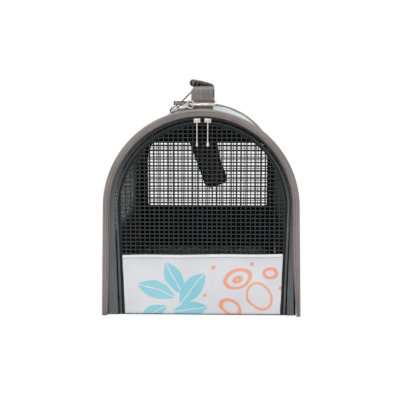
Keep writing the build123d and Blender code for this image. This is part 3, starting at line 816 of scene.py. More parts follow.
def tape(body, outer, inner, ribs):
    """A ribbed strip between two arch lines."""
    across = 20
    rings = []
    for (ax, az), (bx, bz) in zip(outer, inner):
        room = math.hypot(bx - ax, bz - az)
        front, back = [], []
        for k in range(across + 1):
            share = k / across
            high = min(1.0, room / 7.0) * 1.95 * abs(math.sin(math.pi * ribs * share)) ** 0.7
            x, z = ax + (bx - ax) * share, az + (bz - az) * share
            sway = 0.3 * ripple(z + ax, share * 9.0, 26.0)
            front.append((x, TAPE_Y - high - abs(sway) * 0.5, z))
            back.append((x, TAPE_Y + 1.0, z))
        rings.append(front + back[::-1])
    finish_mesh(f"{body}_tape", sweep(rings), TAPE, body, [f"{body}_zipper_tape"], "zipper_tape")


tape("shell", shell_line(9.4, 1.0), door_line(4.3, 1.0), ribs=3)
tape("door", door_line(2.5), door_line(-0.6), ribs=1)
for body, outset, low in (("shell", 5.15, 1.5), ("door", 1.65, 2.5)):
    line = [(x, TAPE_Y - 1.0, z) for x, z in door_line(outset, low)]
    values = {"Bead": COIL_LOOP, "Spacing": 1.25 * MM, "Facing": ALONG}
    name, node = f"{body}_coil", f"{body}_zipper_coil"
    coil = run_tree(name, BEADS, [line], values, COIL, body, [node], "coil")
    print(coil.name, "faces", len(coil.data.polygons))

# %% [markdown]
# ## The nets
# The nets are woven from coated yarn on a pitch of 6.8 by 5.7 mm. Each yarn rises over
# one crossing and dips under the next. The yarns run on behind the black edging, so
# their cut ends never show.

# %% Weave the nets
PITCH_X, PITCH_Z, YARN, DIP = 6.8, 5.7, 1.8, 0.3
NET_FOOT, NET_INSET, DOOR_INSET = 85.0, 7.75, 2.5
NET_END, NET_LOW, NET_HIGH = 160.0, 93.0, 197.0
REAR_NET, REAR_NET_HALF, REAR_NET_LOW = 210.25, 119.0, 92.0


def even_range(low, high, pitch):
    """Places one pitch apart, centred between low and high."""
    count = int((high - low) / pitch)
    start = (low + high - count * pitch) / 2
    return [start + k * pitch for k in range(count + 1)]


def lattice(low_u, high_u, low_v, high_v, span_u, span_v):
    """Crossing yarns: lists of (u, v, lift) that stop at the edge."""
    def yarns(heres, theres, span, first):
        for i, here in enumerate(heres):
            ends = span(here)
            if ends:
                lifts = [(there, first * (-1) ** (i + j)) for j, there in enumerate(theres)]
                inner = [(there, lift) for there, lift in lifts if ends[0] < there < ends[1]]
                yield here, [(ends[0], 0.0)] + inner + [(ends[1], 0.0)]

    us, vs = even_range(low_u, high_u, PITCH_X), even_range(low_v, high_v, PITCH_Z)
    lines = [[(u, v, lift) for v, lift in yarn] for u, yarn in yarns(us, vs, span_v, DIP)]
    return lines + [[(u, v, lift) for u, lift in yarn] for v, yarn in yarns(vs, us, span_u, -DIP)]


def net(name, lines, facing, body, node):
    values = {"Width": YARN * MM, "Thickness": 0.75 * MM, "Sides": 6, "Facing": facing}
    return run_tree(name, YARNS, lines, values, NET, body, [node], "net")


def door_lattice():
    half, radius = DOOR_HALF - DOOR_INSET, DOOR_RADIUS - DOOR_INSET

    def up(x):
        off = abs(x - SHIFT)
        if off >= radius - 1:
            return None
        return NET_FOOT, SPRING + math.sqrt(radius * radius - off * off)

    def over(z):
        reach = arch_half(half, radius, z)
        return (SHIFT - reach, SHIFT + reach) if reach > 6 else None

    return lattice(SHIFT - radius, SHIFT + radius, 88.5, SPRING + radius, over, up)


def rear_lattice():
    """The rear window, which has its two upper corners cut off."""
    def up(x):
        return REAR_NET_LOW, 222.5 - 2.4 * max(0.0, abs(x - SHIFT) - 108.0)

    def over(z):
        reach = REAR_NET_HALF - 0.38 * max(0.0, z - 194.0)
        return SHIFT - reach, SHIFT + reach

    return lattice(SHIFT - DOOR_RADIUS, SHIFT + DOOR_RADIUS, REAR_NET_LOW, 223.0, over, up)


lines = [
    [(u, FRONT + 1.5 + 0.6 * ripple(u, v, 60.0) - lift, v) for u, v, lift in line]
    for line in door_lattice()
]
door_net = net("door_net", lines, ALONG, "door", "door_mesh")
print("door net yarns", len(lines), "faces", len(door_net.data.polygons))
lines = [[(u, REAR_NET + lift, v) for u, v, lift in line] for line in rear_lattice()]
net("rear_window_net", lines, ALONG, "shell", "rear_window_mesh")
long, tall = (-NET_END, NET_END), (NET_LOW, NET_HIGH)
wall = lattice(*long, *tall, lambda z: long, lambda y: tall)
half, radius = FLOOR_HALF - NET_INSET, RADIUS - NET_INSET
for side, word in SIDES:
    lines = [
        [(side * (arch_half(half, radius, v) + lift), u, v) for u, v, lift in line]
        for line in wall
    ]
    net(f"side_net_{word}", lines, (float(side), 0.0, 0.0), "shell", f"side_mesh_{word}")
print("side net yarns", len(wall))

# %% [markdown]
# ## Cut cloth
# A panel is laid out as a fine grid over its flat cut. Cells outside the cut are left
# out, and the rim of the rest is pulled onto the cut line. The cloth gets a small
# thickness, with the print outside and a black lining inside. Each panel's flat area
# is printed.

# %% Make the cloth cutter
def cell(i, j):
    return [(i, j), (i + 1, j), (i + 1, j + 1), (i, j + 1)]


def cut_cloth(us, vs, place, keep, snap, thick):
    """A thin skin over a flat cut; returns it with its flat area in square metres."""
    bm = bmesh.new()
    uv = bm.loops.layers.uv.verify()
    kept = {
        (i, j): (us[i + 1] - us[i]) * (vs[j + 1] - vs[j]) * MM * MM
        for i in range(len(us) - 1) for j in range(len(vs) - 1)
        if keep((us[i] + us[i + 1]) / 2, (vs[j] + vs[j + 1]) / 2)
    }
    spots, rim = {}, {}
    for i, j in kept:
        for a, b in cell(i, j):
            if (a, b) in spots:
                continue
            u, v = us[a], vs[b]
            if not all(c in kept for c in cell(a - 1, b - 1)):
                u, v = snap(u, v)
            outside, inside = (bm.verts.new(Vector(place(u, v, d)) * MM) for d in (0.0, thick))
            spots[a, b] = (u, v, outside, inside)
    for i, j in kept:
        marks = cell(i, j)
        for layer, order in ((0, marks), (1, marks[::-1])):
            face = bm.faces.new([spots[c][2 + layer] for c in order])
            face.material_index = layer
            for loop, c in zip(face.loops, order):
                loop[uv].uv = (spots[c][0] * MM, spots[c][1] * MM)
        for one, two in zip(marks, marks[1:] + marks[:1]):
            if (two, one) in rim:
                del rim[two, one]
            else:
                rim[one, two] = True
    for one, two in rim:
        a, b = spots[one], spots[two]
        face = bm.faces.new((a[3], b[3], b[2], a[2]))
        for loop, (c, lift) in zip(face.loops, ((a, 1), (b, 1), (b, 0), (a, 0))):
            loop[uv].uv = (c[0] * MM, (c[1] + lift) * MM)
    bmesh.ops.recalc_face_normals(bm, faces=bm.faces)
    return bm, sum(kept.values())


def hang(
    name, node, cut, outside=PRINT, body="shell", slot="print_cloth",
):
    bm, area = cut
    panel = finish_mesh(name, bm, [outside, DARK], body, [node], slot)
    print(name, "flat area", round(area, 4))


def pulled(gap_at, u, v, near):
    """The point of a cut line beside (u, v), or None when it isn't near."""
    gap, e = gap_at(u, v), 0.01
    if abs(gap) > near:
        return None
    du = (gap_at(u + e, v) - gap) / e
    dv = (gap_at(u, v + e) - gap) / e
    return u - du * gap, v - dv * gap


print("cloth cutter ready")

# %% [markdown]
# ## Sides and roof
# The side walls and the roof are stretched between the two rims. They sag a little in
# the middle, and small puckers run in from the seams at the rims.

# %% Hang the sides and the roof
WALL_END, WALL_THICK = 209.0, 1.6
TURN = RADIUS - 3.0
S_TOP = SPRING + TURN * math.asin((204.0 - SPRING) / TURN)
S_WHOLE = 2 * SPRING + math.pi * TURN
WINDOW_HALF, WINDOW_CORNER = 155.0, 16.0
WINDOW_LOW, WINDOW_HIGH = 98.0, SPRING + TURN * math.asin((192.0 - SPRING) / TURN)
WALL_STEPS = steps(-WALL_END, WALL_END, 5.0)


def shell_point(inset, s):
    """A point of the right wall, s millimetres up from the floor along the wall."""
    if s <= SPRING:
        return leg_half(FLOOR_HALF - inset, RADIUS - inset, s), s
    angle = (s - SPRING) / TURN
    return (RADIUS - inset) * math.cos(angle), SPRING + (RADIUS - inset) * math.sin(angle)


def window_gap(u, v):
    """Distance outside the rounded side window; below zero is inside."""
    mid, half = (WINDOW_LOW + WINDOW_HIGH) / 2, (WINDOW_HIGH - WINDOW_LOW) / 2
    a = abs(u) - (WINDOW_HALF - WINDOW_CORNER)
    b = abs(v - mid) - (half - WINDOW_CORNER)
    return math.hypot(max(a, 0.0), max(b, 0.0)) + min(max(a, b), 0.0) - WINDOW_CORNER


def wall_place(side):
    def place(u, v, depth):
        edge = max(0.0, 1.0 - (WALL_END - abs(u)) / 30.0)
        slack = 0.7 * ripple(u, v, 70.0, side) + 0.35 * ripple(u * 1.6, v, 22.0, 4.0)
        pull = 0.5 * edge * math.sin(v / 5.5 + 2.0 * ripple(v, u, 30.0))
        x, z = shell_point(3.6 + max(-0.3, slack * (1.0 - edge) + pull * 0.4) + depth, v)
        return side * x, u, z
    return place


def roof_place(u, v, depth):
    angle = (v - SPRING) / TURN
    edge = max(0.0, 1.0 - (WALL_END - abs(u)) / 26.0)
    slack = 1.2 * (0.5 + 0.5 * math.cos(math.pi * u / WALL_END)) + 0.5 * ripple(u, v, 60.0, 7.0)
    pull = 0.35 * edge * math.sin(v / 6.0 + 2.5 * ripple(v, u, 34.0))
    radius = RADIUS - 3.4 - max(-0.2, slack * (1.0 - edge) + pull) - depth
    return radius * math.cos(angle), u, SPRING + radius * math.sin(angle)


for side, word in SIDES:
    cut = cut_cloth(
        WALL_STEPS, steps(2.7, S_TOP + 1.0, 4.5), wall_place(side),
        lambda u, v: window_gap(u, v) > 0.0,
        lambda u, v: pulled(window_gap, u, v, 5.0) or (u, v), WALL_THICK,
    )
    hang(f"side_wall_{word}", f"side_panel_{word}", cut)
cut = cut_cloth(
    WALL_STEPS, steps(S_TOP, S_WHOLE - S_TOP, 4.5), roof_place,
    lambda u, v: True, lambda u, v: (u, v), WALL_THICK,
)
hang("roof_cloth", "roof_panel", cut, ROOF_PRINT)
for side, word in SIDES:
    seam = []
    for x, z in (shell_point(2.9, S_TOP - 3.0), shell_point(2.9, S_TOP + 3.5)):
        seam.append([(side * x, u, z) for u in steps(-205.0, 205.0, 6.0)])
    stitch(f"roof_seam_{word}", seam, (float(side), 0.0, 0.4))

# %% [markdown]
# ## The rear end
# The rear end is flat inside its rim, with a printed foot and a black upper part that
# has a window. The window's upper corners are cut off, and a dark tape binds it, as
# another binds each side window.

# %% Hang the rear end
REAR_INSET, REAR_THICK = 9.0, 1.4
REAR_HALF, REAR_RADIUS = FLOOR_HALF - REAR_INSET, RADIUS - REAR_INSET
REAR_CORNERS = [
    (-118.0, 92.5), (122.0, 92.5), (122.0, 194.5),
    (111.8, 222.0), (-107.8, 222.0), (-118.0, 194.5),
]


def end_cut(half, radius, centre):
    """What to keep of an arched end panel, and where its edge lies."""
    def keep(u, v):
        return arch_reach(half, radius, centre, u, v) > 0

    def snap(u, v):
        reach = arch_reach(half, radius, centre, u, v)
        if abs(reach) > 5.0:
            return u, v
        if v <= SPRING:
            return u + math.copysign(reach, u - centre), v
        long = math.hypot(u - centre, v - SPRING)
        return centre + (u - centre) * radius / long, SPRING + (v - SPRING) * radius / long
    return keep, snap


def rear_gap(u, v):
    """Distance outside the rear window with its two cut corners; below zero is inside."""
    u = abs(u - SHIFT)
    slope = ((u - 107.5) * 26.0 + (v - 194.0) * 10.0 - 260.0) / math.hypot(26.0, 10.0)
    return max(u - 117.5, 95.0 - v, v - 220.0, slope)


def rear_place(face_y):
    """A flat end panel with a little slack, which faces the rear."""
    def place(u, v, depth):
        slack = 0.8 * (0.6 * ripple(u, v, 55.0, 1.0) + 0.4 * ripple(u * 2.2, v, 26.0, 3.0))
        return u, face_y - (abs(slack) + depth), v
    return place


in_rim, rim_snap = end_cut(REAR_HALF, REAR_RADIUS, 0.0)
cut = cut_cloth(
    steps(-REAR_HALF, REAR_HALF, 4.6), steps(2.0, 91.0, 4.5), rear_place(REAR),
    in_rim, rim_snap, REAR_THICK,
)
hang("rear_foot", "rear_lower_panel", cut)
cut = cut_cloth(
    steps(-REAR_HALF, REAR_HALF, 4.4), steps(90.0, SPRING + REAR_RADIUS, 4.4),
    rear_place(REAR - 0.1), lambda u, v: in_rim(u, v) and rear_gap(u, v) > 0,
    lambda u, v: pulled(rear_gap, u, v, 4.0) or rim_snap(u, v), REAR_THICK,
)
hang(
    "rear_wall", "rear_upper_panel", cut, DARK, slot="dark_cloth",
)


def outline_points(corners, cut, lift):
    """Points near each corner, so the smooth line bends there and keeps its straight runs."""
    points = []
    for k, (x, y) in enumerate(corners):
        ahead = corners[(k + 1) % len(corners)]
        for other, marks in ((corners[k - 1], (2.4, 1.6, 1.0)), (ahead, (1.0, 1.6, 2.4))):
            for mark in marks:
                near = min(cut * mark / math.dist((x, y), other), 0.46 - 0.04 / mark)
                points.append(lift(x + (other[0] - x) * near, y + (other[1] - y) * near))
    return points


def band(node, points, width, thick):
    """A folded tape sewn round a window; each point has a place and its way out."""
    line = smooth_line(points + points[:1])[:-1]
    rings = []
    for p, run in runs(line, closed=True):
        face = Vector(p[3:6])
        side = run.normalized().cross(face).normalized()
        rings.append(oval(Vector(p[:3]), side, face, width, thick, 0.7, 12))
    finish_mesh(node, sweep(rings, closed=True), EDGING, "shell", [node], "dark_cloth")


def on_wall(side):
    def lift(y, s):
        (x, z), (in_x, in_z) = shell_point(3.2, s), shell_point(4.2, s)
        return side * x, y, z, side * (x - in_x), 0.0, z - in_z
    return lift


points = outline_points(REAR_CORNERS, 5.0, lambda x, z: (x, REAR, z) + ALONG)
band("rear_window_band", points, width=7.6, thick=2.2)
for side, word in SIDES:
    corners = [
        (-WINDOW_HALF, WINDOW_LOW), (WINDOW_HALF, WINDOW_LOW),
        (WINDOW_HALF, WINDOW_HIGH), (-WINDOW_HALF, WINDOW_HIGH),
    ]
    points = outline_points(corners, 13.0, on_wall(side))
    band(f"side_window_band_{word}", points, width=7.0, thick=2.0)

# %% [markdown]
# ## The door's cloth
# The door has a black edging and a printed foot. The foot hangs from a pale hem and is
# caught in the edging at both sides, so it shows soft upright creases there and a slight
# belly in the middle. The hem rises a little towards the right, as sewn goods do.

# %% Sew the door
edge_rings = []
for i, (_, height) in enumerate(door_line(0.0)):
    half_band = 2.6 - 0.9 * min(1.0, max(0.0, (height - 60.0) / 160.0))
    ring = []
    for angle in round_turn(14):
        x, z = door_line(0.1 - half_band + half_band * boxy(math.cos(angle), 0.7))[i]
        y = FRONT + 1.5 + 1.6 * boxy(math.sin(angle), 0.7) + 0.15 * ripple(x, z, 20.0)
        ring.append((x, y, z))
    edge_rings.append(ring)
finish_mesh("door_edging_band", sweep(edge_rings), EDGING, "door", ["door_edging"], "dark_cloth")


CLOTH_LEFT, CLOTH_RIGHT = -112.0, 116.0
HEM_LOW, HEM_RISE = 87.6, 2.4


def hem_top(x):
    """Height of the hem's upper edge, a little higher on the right."""
    return HEM_LOW + HEM_RISE * (x - CLOTH_LEFT) / 224.0 + 0.35 * math.sin(x / 17.0)


def door_place(u, v, depth):
    left, right = u - CLOTH_LEFT, CLOTH_RIGHT - u
    crease = math.exp(-left / 14.0) * math.sin(left * 0.55 + 1.2 * ripple(v, u, 30.0))
    crease += 0.7 * math.exp(-right / 12.0) * math.sin(right * 0.6 + v * 0.02)
    fold = 0.7 * math.exp(-(((u + 88.0) + (v - 40.0) * 0.18) / 7.0) ** 2)
    fold += 0.5 * math.exp(-(((u - 84.0) - (v - 30.0) * 0.22) / 9.0) ** 2)
    slack = 0.5 * ripple(u, v, 48.0, 5.0)
    return u, FRONT + 0.9 - crease - fold - slack + depth, 2.0 + (v - 2.0) * hem_top(u) / 90.0


cut = cut_cloth(
    steps(CLOTH_LEFT - 2.0, CLOTH_RIGHT + 2.0, 3.2), steps(2.0, 90.0, 3.4), door_place,
    *end_cut(DOOR_HALF - DOOR_INSET, DOOR_RADIUS - DOOR_INSET, SHIFT), 1.1,
)
hang(
    "door_foot_cloth", "door_lower_panel", cut, body="door",
)
hem_line = [
    (x, FRONT - 0.15 - 0.12 * ripple(x, 0.0, 20.0), hem_top(x) - 1.5, 0.0, 0.0, 1.0)
    for x in steps(CLOTH_LEFT, CLOTH_RIGHT, 6.0)
]
finish_mesh("door_hem_band", ribbon(hem_line, 4.2, 0.9), HEM, "door", ["door_hem"], "hem")
row = [(x, FRONT - 0.7, hem_top(x) - 3.9) for x in steps(CLOTH_LEFT + 2.0, CLOTH_RIGHT - 2.0, 4.0)]
stitch("hem_stitches", [row], ALONG, THREAD, "door", 3.2)
row = [(x, FRONT - 0.2, z) for x, z in door_line(-3.9, 6.0)]
stitch("edging_stitches", [row], ALONG, DARK_THREAD, "door", 3.4)

# %% [markdown]
# ## Floor, board and mat
# The mat is a quilted pad on a stiff board. A pad is best made by a short cloth run: a
# slightly smaller block is filled with pressure, and no part of it may move further
# than a cap. The quilting lines are pressed in afterwards, because the cloth run has no
# seams of its own.

# %% Make the floor and fill the mat
def block(name, node, corner, finish, body, slot):
    """A stiff sheet in its node's box, with rounded corners and a softened edge."""
    low, high = box_mm(node)
    bm = bmesh.new()
    uv = bm.loops.layers.uv.verify()
    ring = []
    for cx, cy, start in ((1, 1, 0), (-1, 1, 90), (-1, -1, 180), (1, -1, 270)):
        for k in range(9):
            angle = math.radians(start + 90.0 * k / 8)
            ring.append((
                (high[0] if cx > 0 else low[0]) - cx * corner + corner * math.cos(angle),
                (high[1] if cy > 0 else low[1]) - cy * corner + corner * math.sin(angle),
            ))
    lower = [bm.verts.new(Vector((x, y, low[2])) * MM) for x, y in ring]
    lifted = bmesh.ops.extrude_face_region(bm, geom=[bm.faces.new(lower[::-1])])
    for v in lifted["geom"]:
        if isinstance(v, bmesh.types.BMVert):
            v.co.z = high[2] * MM
    bmesh.ops.recalc_face_normals(bm, faces=bm.faces)
    for face in bm.faces:
        for loop in face.loops:
            loop[uv].uv = (loop.vert.co.x + loop.vert.co.z, loop.vert.co.y)
    obj = finish_mesh(name, bm, finish, body, [node], slot, smooth=False)
    bevel = obj.modifiers.new("edge", "BEVEL")
    bevel.width, bevel.segments, bevel.limit_method = 0.6 * MM, 3, "ANGLE"


def box_mm(node):
    return [[value / MM for value in corner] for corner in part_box(node)]


def fill_pad(low, high, corner, voxel, pressure, cap, frames):
    """Fill a rounded block with air by a cloth run; the result is a plain mesh."""
    bm = bmesh.new()
    bmesh.ops.create_cube(bm, size=1.0)
    size = [h - l for l, h in zip(low, high)]
    middle = [(l + h) / 2 for l, h in zip(low, high)]
    bmesh.ops.scale(bm, verts=bm.verts, vec=Vector(size) * MM)
    upright = [e for e in bm.edges if abs(e.verts[0].co.z - e.verts[1].co.z) > 0.5 * size[2] * MM]
    bmesh.ops.bevel(bm, geom=upright, offset=corner * MM, segments=6, affect="EDGES", profile=0.5)
    bmesh.ops.translate(bm, verts=bm.verts, vec=Vector(middle) * MM)
    obj = put("mat_shape", plain_mesh("mat_shape", bm))
    remesh = obj.modifiers.new("even", "REMESH")
    remesh.mode, remesh.voxel_size = "VOXEL", voxel * MM
    even = evaluated(obj)
    obj.modifiers.clear()
    obj.data = even
    cloth = obj.modifiers.new("air", "CLOTH")
    cloth.settings.use_pressure = True
    cloth.settings.uniform_pressure_force = pressure
    cloth.settings.effector_weights.gravity = 0.0
    cloth.settings.quality = 4
    for number in range(1, frames + 1):
        bpy.context.scene.frame_set(number)
    moved = evaluated(obj)
    for vertex, start in zip(moved.vertices, [v.co.copy() for v in even.vertices]):
        shift = vertex.co - start
        if shift.length > cap * MM:
            vertex.co = start + shift.normalized() * cap * MM
    obj.modifiers.clear()
    obj.data = moved
    bpy.context.scene.frame_set(1)
    bm = bmesh.new()
    bm.from_mesh(obj.data)
    bpy.data.objects.remove(obj)
    return bm


def quilt(bm, low, high):
    """Press the quilting lines in, keep the pad in its box and give it a map."""
    uv = bm.loops.layers.uv.verify()
    for vertex in bm.verts:
        x, y, z = (value / MM for value in vertex.co)
        seam = min(abs((x + 31.0) % 62.0 - 31.0), abs((y + 33.0) % 66.0 - 33.0))
        if z > (low + high) / 2:
            z -= 2.2 * math.exp(-(seam / 4.0) ** 2)
        vertex.co = Vector((x, y, min(max(z, low + 0.1), high + 1.5))) * MM
    for face in bm.faces:
        for loop in face.loops:
            loop[uv].uv = (loop.vert.co.x, loop.vert.co.y + loop.vert.co.z)
    return bm


block("floor_cloth", "floor_panel", 2.0, DARK, "shell", "dark_cloth")
block("stiff_board", "base_board", 16.0, BOARD, "mat", "board")
low, high = box_mm("floor_mat")
room = (3.0, 3.0, 2.2)
inner_low = [value + gap for value, gap in zip(low, room)]
inner_high = [value - gap for value, gap in zip(high, room)]
filled = fill_pad(inner_low, inner_high, corner=15.0, voxel=4.5, pressure=3.0, cap=3.0, frames=18)
quilted = quilt(filled, low[2], high[2])
mat = finish_mesh("quilted_mat", quilted, MAT, "mat", ["floor_mat"], "fleece")
print("mat faces", len(mat.data.polygons))

# %% [markdown]
# ## Handle and grip
# The handle is a doubled strap that rises from the front ring tab, runs level and comes
# down at the rear. A wrap of the same webbing closes round it with a flap. It sits
# tilted, as in the photograph, and its padding shows at the open end.

# %% Sew the handle
WEB = 32.0
RING_Z, RING_Y = 300.5, 150.0
TOP = RING_Z + 28.5
TILT = math.radians(-13.0)
GRIP_X, GRIP_END = -3.0, 57.6
# Half of the handle's line: distance from its middle, and height above the rings.
CLIMB = [
    (146.0, 4.6), (144.6, 8.0), (140.6, 17.5), (138.2, 20.4), (132.0, 21.6),
    (96.0, 22.3), (66.0, 23.5), (50.0, 26.0),
]

path = [(0.0, -y, RING_Z + z) + ACROSS for y, z in CLIMB]
path += [(0.0, 0.0, TOP - 1.5) + ACROSS]
path += [(0.0, y, RING_Z + z) + ACROSS for y, z in reversed(CLIMB)]
strap("handle_webbing", path, WEB, 2.6, 2.0, "handle", "handle_strap")
for sign, end in ENDS:
    rows = [
        [(x, sign * (147.0 - 0.35 * z), RING_Z + 5.6 + z) for z in steps(0.0, 12.0, 2.0)]
        for x in (-13.2, 13.2)
    ]
    stitch(f"handle_foot_stitches_{end}", rows, (0.0, float(-sign), 0.0), THREAD, "handle", 3.0)


def tilted(a, y, b):
    """A place in the tilted grip: a across it, b above its middle."""
    return (
        GRIP_X + a * math.cos(TILT) - b * math.sin(TILT), y,
        TOP + a * math.sin(TILT) + b * math.cos(TILT),
    )


def wrap_outline(width, high, skin):
    """A flat tube with one overlapping flap, as one thin closed outline."""
    half, bend = width / 2 - high / 2, high / 2

    def corner(middle, start):
        turns = (start + math.pi * k / 12 for k in range(1, 12))
        return [(middle + bend * math.cos(a), bend * math.sin(a)) for a in turns]

    flap = [(half * (0.35 + 0.65 * k / 6), -bend - 0.6 * (1 - k / 6)) for k in range(7)]
    belly = [(k / 12, math.sin(math.pi * k / 12)) for k in range(13)]
    upper = [(half - 2 * half * share, bend + 0.5 * out) for share, out in belly]
    lower = [(-half + half * 1.55 * share, -bend + 0.25 * out) for share, out in belly]
    line = flap + corner(half, -math.pi / 2) + upper + corner(-half, math.pi / 2) + lower
    outer, inner = [], []
    for p, run in runs([(a, b, 0.0) for a, b in line]):
        way = Vector((run.x, run.y)).normalized()
        out = Vector((way.y, -way.x))
        outer.append(Vector(p[:2]) + out * skin * 0.2)
        inner.append(Vector(p[:2]) - out * skin * 0.8)
    return outer + inner[::-1]


outline = wrap_outline(width=38.0, high=10.4, skin=1.7)
rings = []
for y in steps(-GRIP_END, GRIP_END, 2.4):
    swell = 1.0 + 0.03 * max(0.0, 1.0 - (GRIP_END - abs(y)) / 5.0)
    rings.append([
        tilted(a, y, b * swell + 0.25 * ripple(y, a * 2.0, 16.0)) for a, b in outline
    ])
finish_mesh("grip_wrap", sweep(rings), WEBBING, "handle", ["handle_grip"], "webbing")
rings = []
for y in (-56.4, -55.6, -30.0, 0.0, 30.0, 55.6, 56.4):
    shrink = 0.86 if abs(y) > 56.0 else 1.0
    rings.append([
        tilted(16.2 * boxy(math.cos(turn), 0.4) * (0.97 + 0.03 * shrink), y,
               0.9 + 2.5 * shrink * boxy(math.sin(turn), 0.7))
        for turn in round_turn(28)
    ])
padding = finish_mesh("grip_padding", sweep(rings), WEBBING, "handle", (), "webbing")
rows = [[tilted(a, y, 5.7) for y in steps(-54.0, 54.0, 4.0)] for a in (-11.0, 11.0)]
stitch("grip_stitches", rows, (0.0, 0.0, -1.0), THREAD, "handle", 3.2)
print("handle points", len(path))

# %% [markdown]
# ## Rings and their tabs
# A D-ring is bent from round wire, so a round outline is swept along a smooth closed
# line. Its tab is webbing folded over the straight side.

# %% Bend the rings and fold the tabs
WIRE = 1.75
RING_HALF = WEB / 2 + 0.5 + WIRE
ROOF_Z = SPRING + RADIUS - 2.2
# Half of a ring's line, seen from above: its straight bar, and its way into the bow.
BAR = [(RING_HALF * 0.4, 0.0), (RING_HALF - 2.0, 0.0), (RING_HALF - 0.3, 1.0), (RING_HALF, 4.0)]
# The tab's line: distance from the bar towards the middle of the carrier, and height.
TAB = [
    (-24.0, ROOF_Z), (-12.0, ROOF_Z), (-3.4, ROOF_Z + 0.3), (-1.6, ROOF_Z + 2.0), (-2.9, RING_Z),
    (-1.6, RING_Z + 2.5), (0.0, RING_Z + 2.95), (1.6, RING_Z + 2.5), (2.9, RING_Z),
    (1.4, ROOF_Z + 2.0),
]


def wire(name, points, radius, body, nodes=(), closed=False, step=1.2):
    """Round wire through the points; a fourth number of a point is its own radius."""
    line = smooth_line(points + points[:1], step)[:-1] if closed else smooth_line(points, step)
    rings = []
    for i, (p, run) in enumerate(runs(line, closed)):
        run.normalize()
        side = run.cross(Vector((0.02, 0.01, 1.0))).normalized()
        up = side.cross(run)
        size = p[3] if len(p) > 3 else radius
        if not closed:
            size *= math.sqrt(max(0.12, min(1.0, i / 3, (len(line) - 1 - i) / 3)))
        rings.append(oval(Vector(p[:3]), side, up, 2 * size, 2 * size, 1.0, 14))
    return finish_mesh(name, sweep(rings, closed=closed), NICKEL, body, nodes, "nickel")


half_turn = [math.pi * k / 12 for k in range(13)]
bow = [(RING_HALF * math.cos(a), 10.0 + RING_HALF * math.sin(a)) for a in half_turn]
mirrored = [(-x, y) for x, y in reversed(BAR)]
for sign, end in ENDS:
    outline = mirrored[2:] + BAR + bow + mirrored[:2]
    points = [(x, sign * (RING_Y + y), RING_Z) for x, y in outline]
    wire(f"d_ring_{end}", points, WIRE, f"{end}_ring", [f"ring_{end}"], closed=True)
    tab = [(0.0, sign * (RING_Y - y), z) + ACROSS for y, z in TAB]
    strap(f"ring_tab_{end}", tab, WEB, 1.6, 1.2, "shell", f"ring_tab_{end}")
    rows = [
        [(x, sign * (RING_Y + y), ROOF_Z + 1.0) for x in steps(-13.0, 13.0, 2.0)]
        for y in (12.0, 18.0)
    ]
    stitch(f"tab_stitches_{end}", rows, (0.0, 0.0, -1.0), THREAD, "shell", 3.0)
print("ring points", len(points))

# %% [markdown]
# ## The shoulder strap
# The strap is one long webbing. Its front end loops through the front snap's eye and
# climbs behind the handle's foot; the long run goes back over the roof, drops behind
# the rear net, passes through the pad and comes up again to the rear snap.

# %% Lay the shoulder strap
FRONT_LEAN, PAD_LEAN, RETURN_LEAN = math.radians(45.0), math.radians(20.0), math.radians(9.8)
FRONT_BAR = Vector((-42.80, -157.5, 292.0))
SIDE_X, SIDE_Z = math.cos(PAD_LEAN), math.sin(PAD_LEAN)
FOOT_X, FOOT_Z = 22.0, 133.0
STRAP_WIDTH, STRAP_X, HANG_Y = 31.4, -37.9, 223.9


def rise(u, v, lift):
    """A place on the front end's slanted plane."""
    c, s = math.cos(FRONT_LEAN), math.sin(FRONT_LEAN)
    x, y, z = FRONT_BAR
    return (x + u * c - lift * s, y + v, z + u * s + lift * c) + ALONG


def pad_place(v, side, y):
    """A place on the hanging pad: v up from its foot, and side from its middle line."""
    return FOOT_X - v * SIDE_Z + side * SIDE_X, y, FOOT_Z + v * SIDE_X + side * SIDE_Z


def drop(v, y):
    """A place on the strap's hanging line, with the direction of its width."""
    return pad_place(v, 0.0, y) + (SIDE_X, 0.0, SIDE_Z)


def come_back(x, y, z):
    return (x, y, z, math.cos(RETURN_LEAN), 0.0, math.sin(RETURN_LEAN) * 0.5)


points = [
    rise(9.0, 0.6, -1.6), rise(5.0, 0.2, -2.4), rise(1.5, 0.0, -3.0), rise(-2.4, 0.0, -2.0),
    rise(-3.2, 0.0, 0.0), rise(-2.4, 0.0, 2.0), rise(1.5, 0.0, 3.0), rise(5.0, 0.4, 1.9),
    rise(10.0, 4.5, 0.4), rise(20.0, 19.0, -0.2), rise(31.0, 36.0, 0.2), rise(36.5, 44.5, 0.0),
]
for x, z in ((-14.4, 319.6), (-11.0, 317.6), (0.0, 309.6), (13.0, 300.9)):
    points.append((x, -111.5, z) + ALONG)
strap("strap_front_piece", points, STRAP_WIDTH, 1.7, 1.6, "shell", "strap_front_end")

points = []
for x, y, z in (
    (0.0, -127.0, 297.5), (0.0, -100.0, 297.5), (-19.0, -18.0, 297.4), (-35.2, 44.0, 297.4),
    (STRAP_X, 61.0, 297.4), (STRAP_X, 85.0, 297.4), (STRAP_X, 140.0, 297.3),
    (STRAP_X, 205.0, 297.4), (STRAP_X, 218.0, 297.2),
):
    points.append((x, y, z) + ACROSS)
points += [(-37.5, 222.6, 296.0, 0.995, 0.0, 0.1), (-36.6, HANG_Y, 292.5, 0.96, 0.0, 0.26)]
points += [drop(v, HANG_Y) for v in (160.0, 120.0, 70.0, 26.0, 14.0)]
points += [drop(9.4, 225.0), drop(9.0, 228.0), drop(9.4, 230.9)]
strap("strap_long_piece", points, 31.6, 1.7, 2.4, "shell", "strap_top_run", "strap_hanging_run")

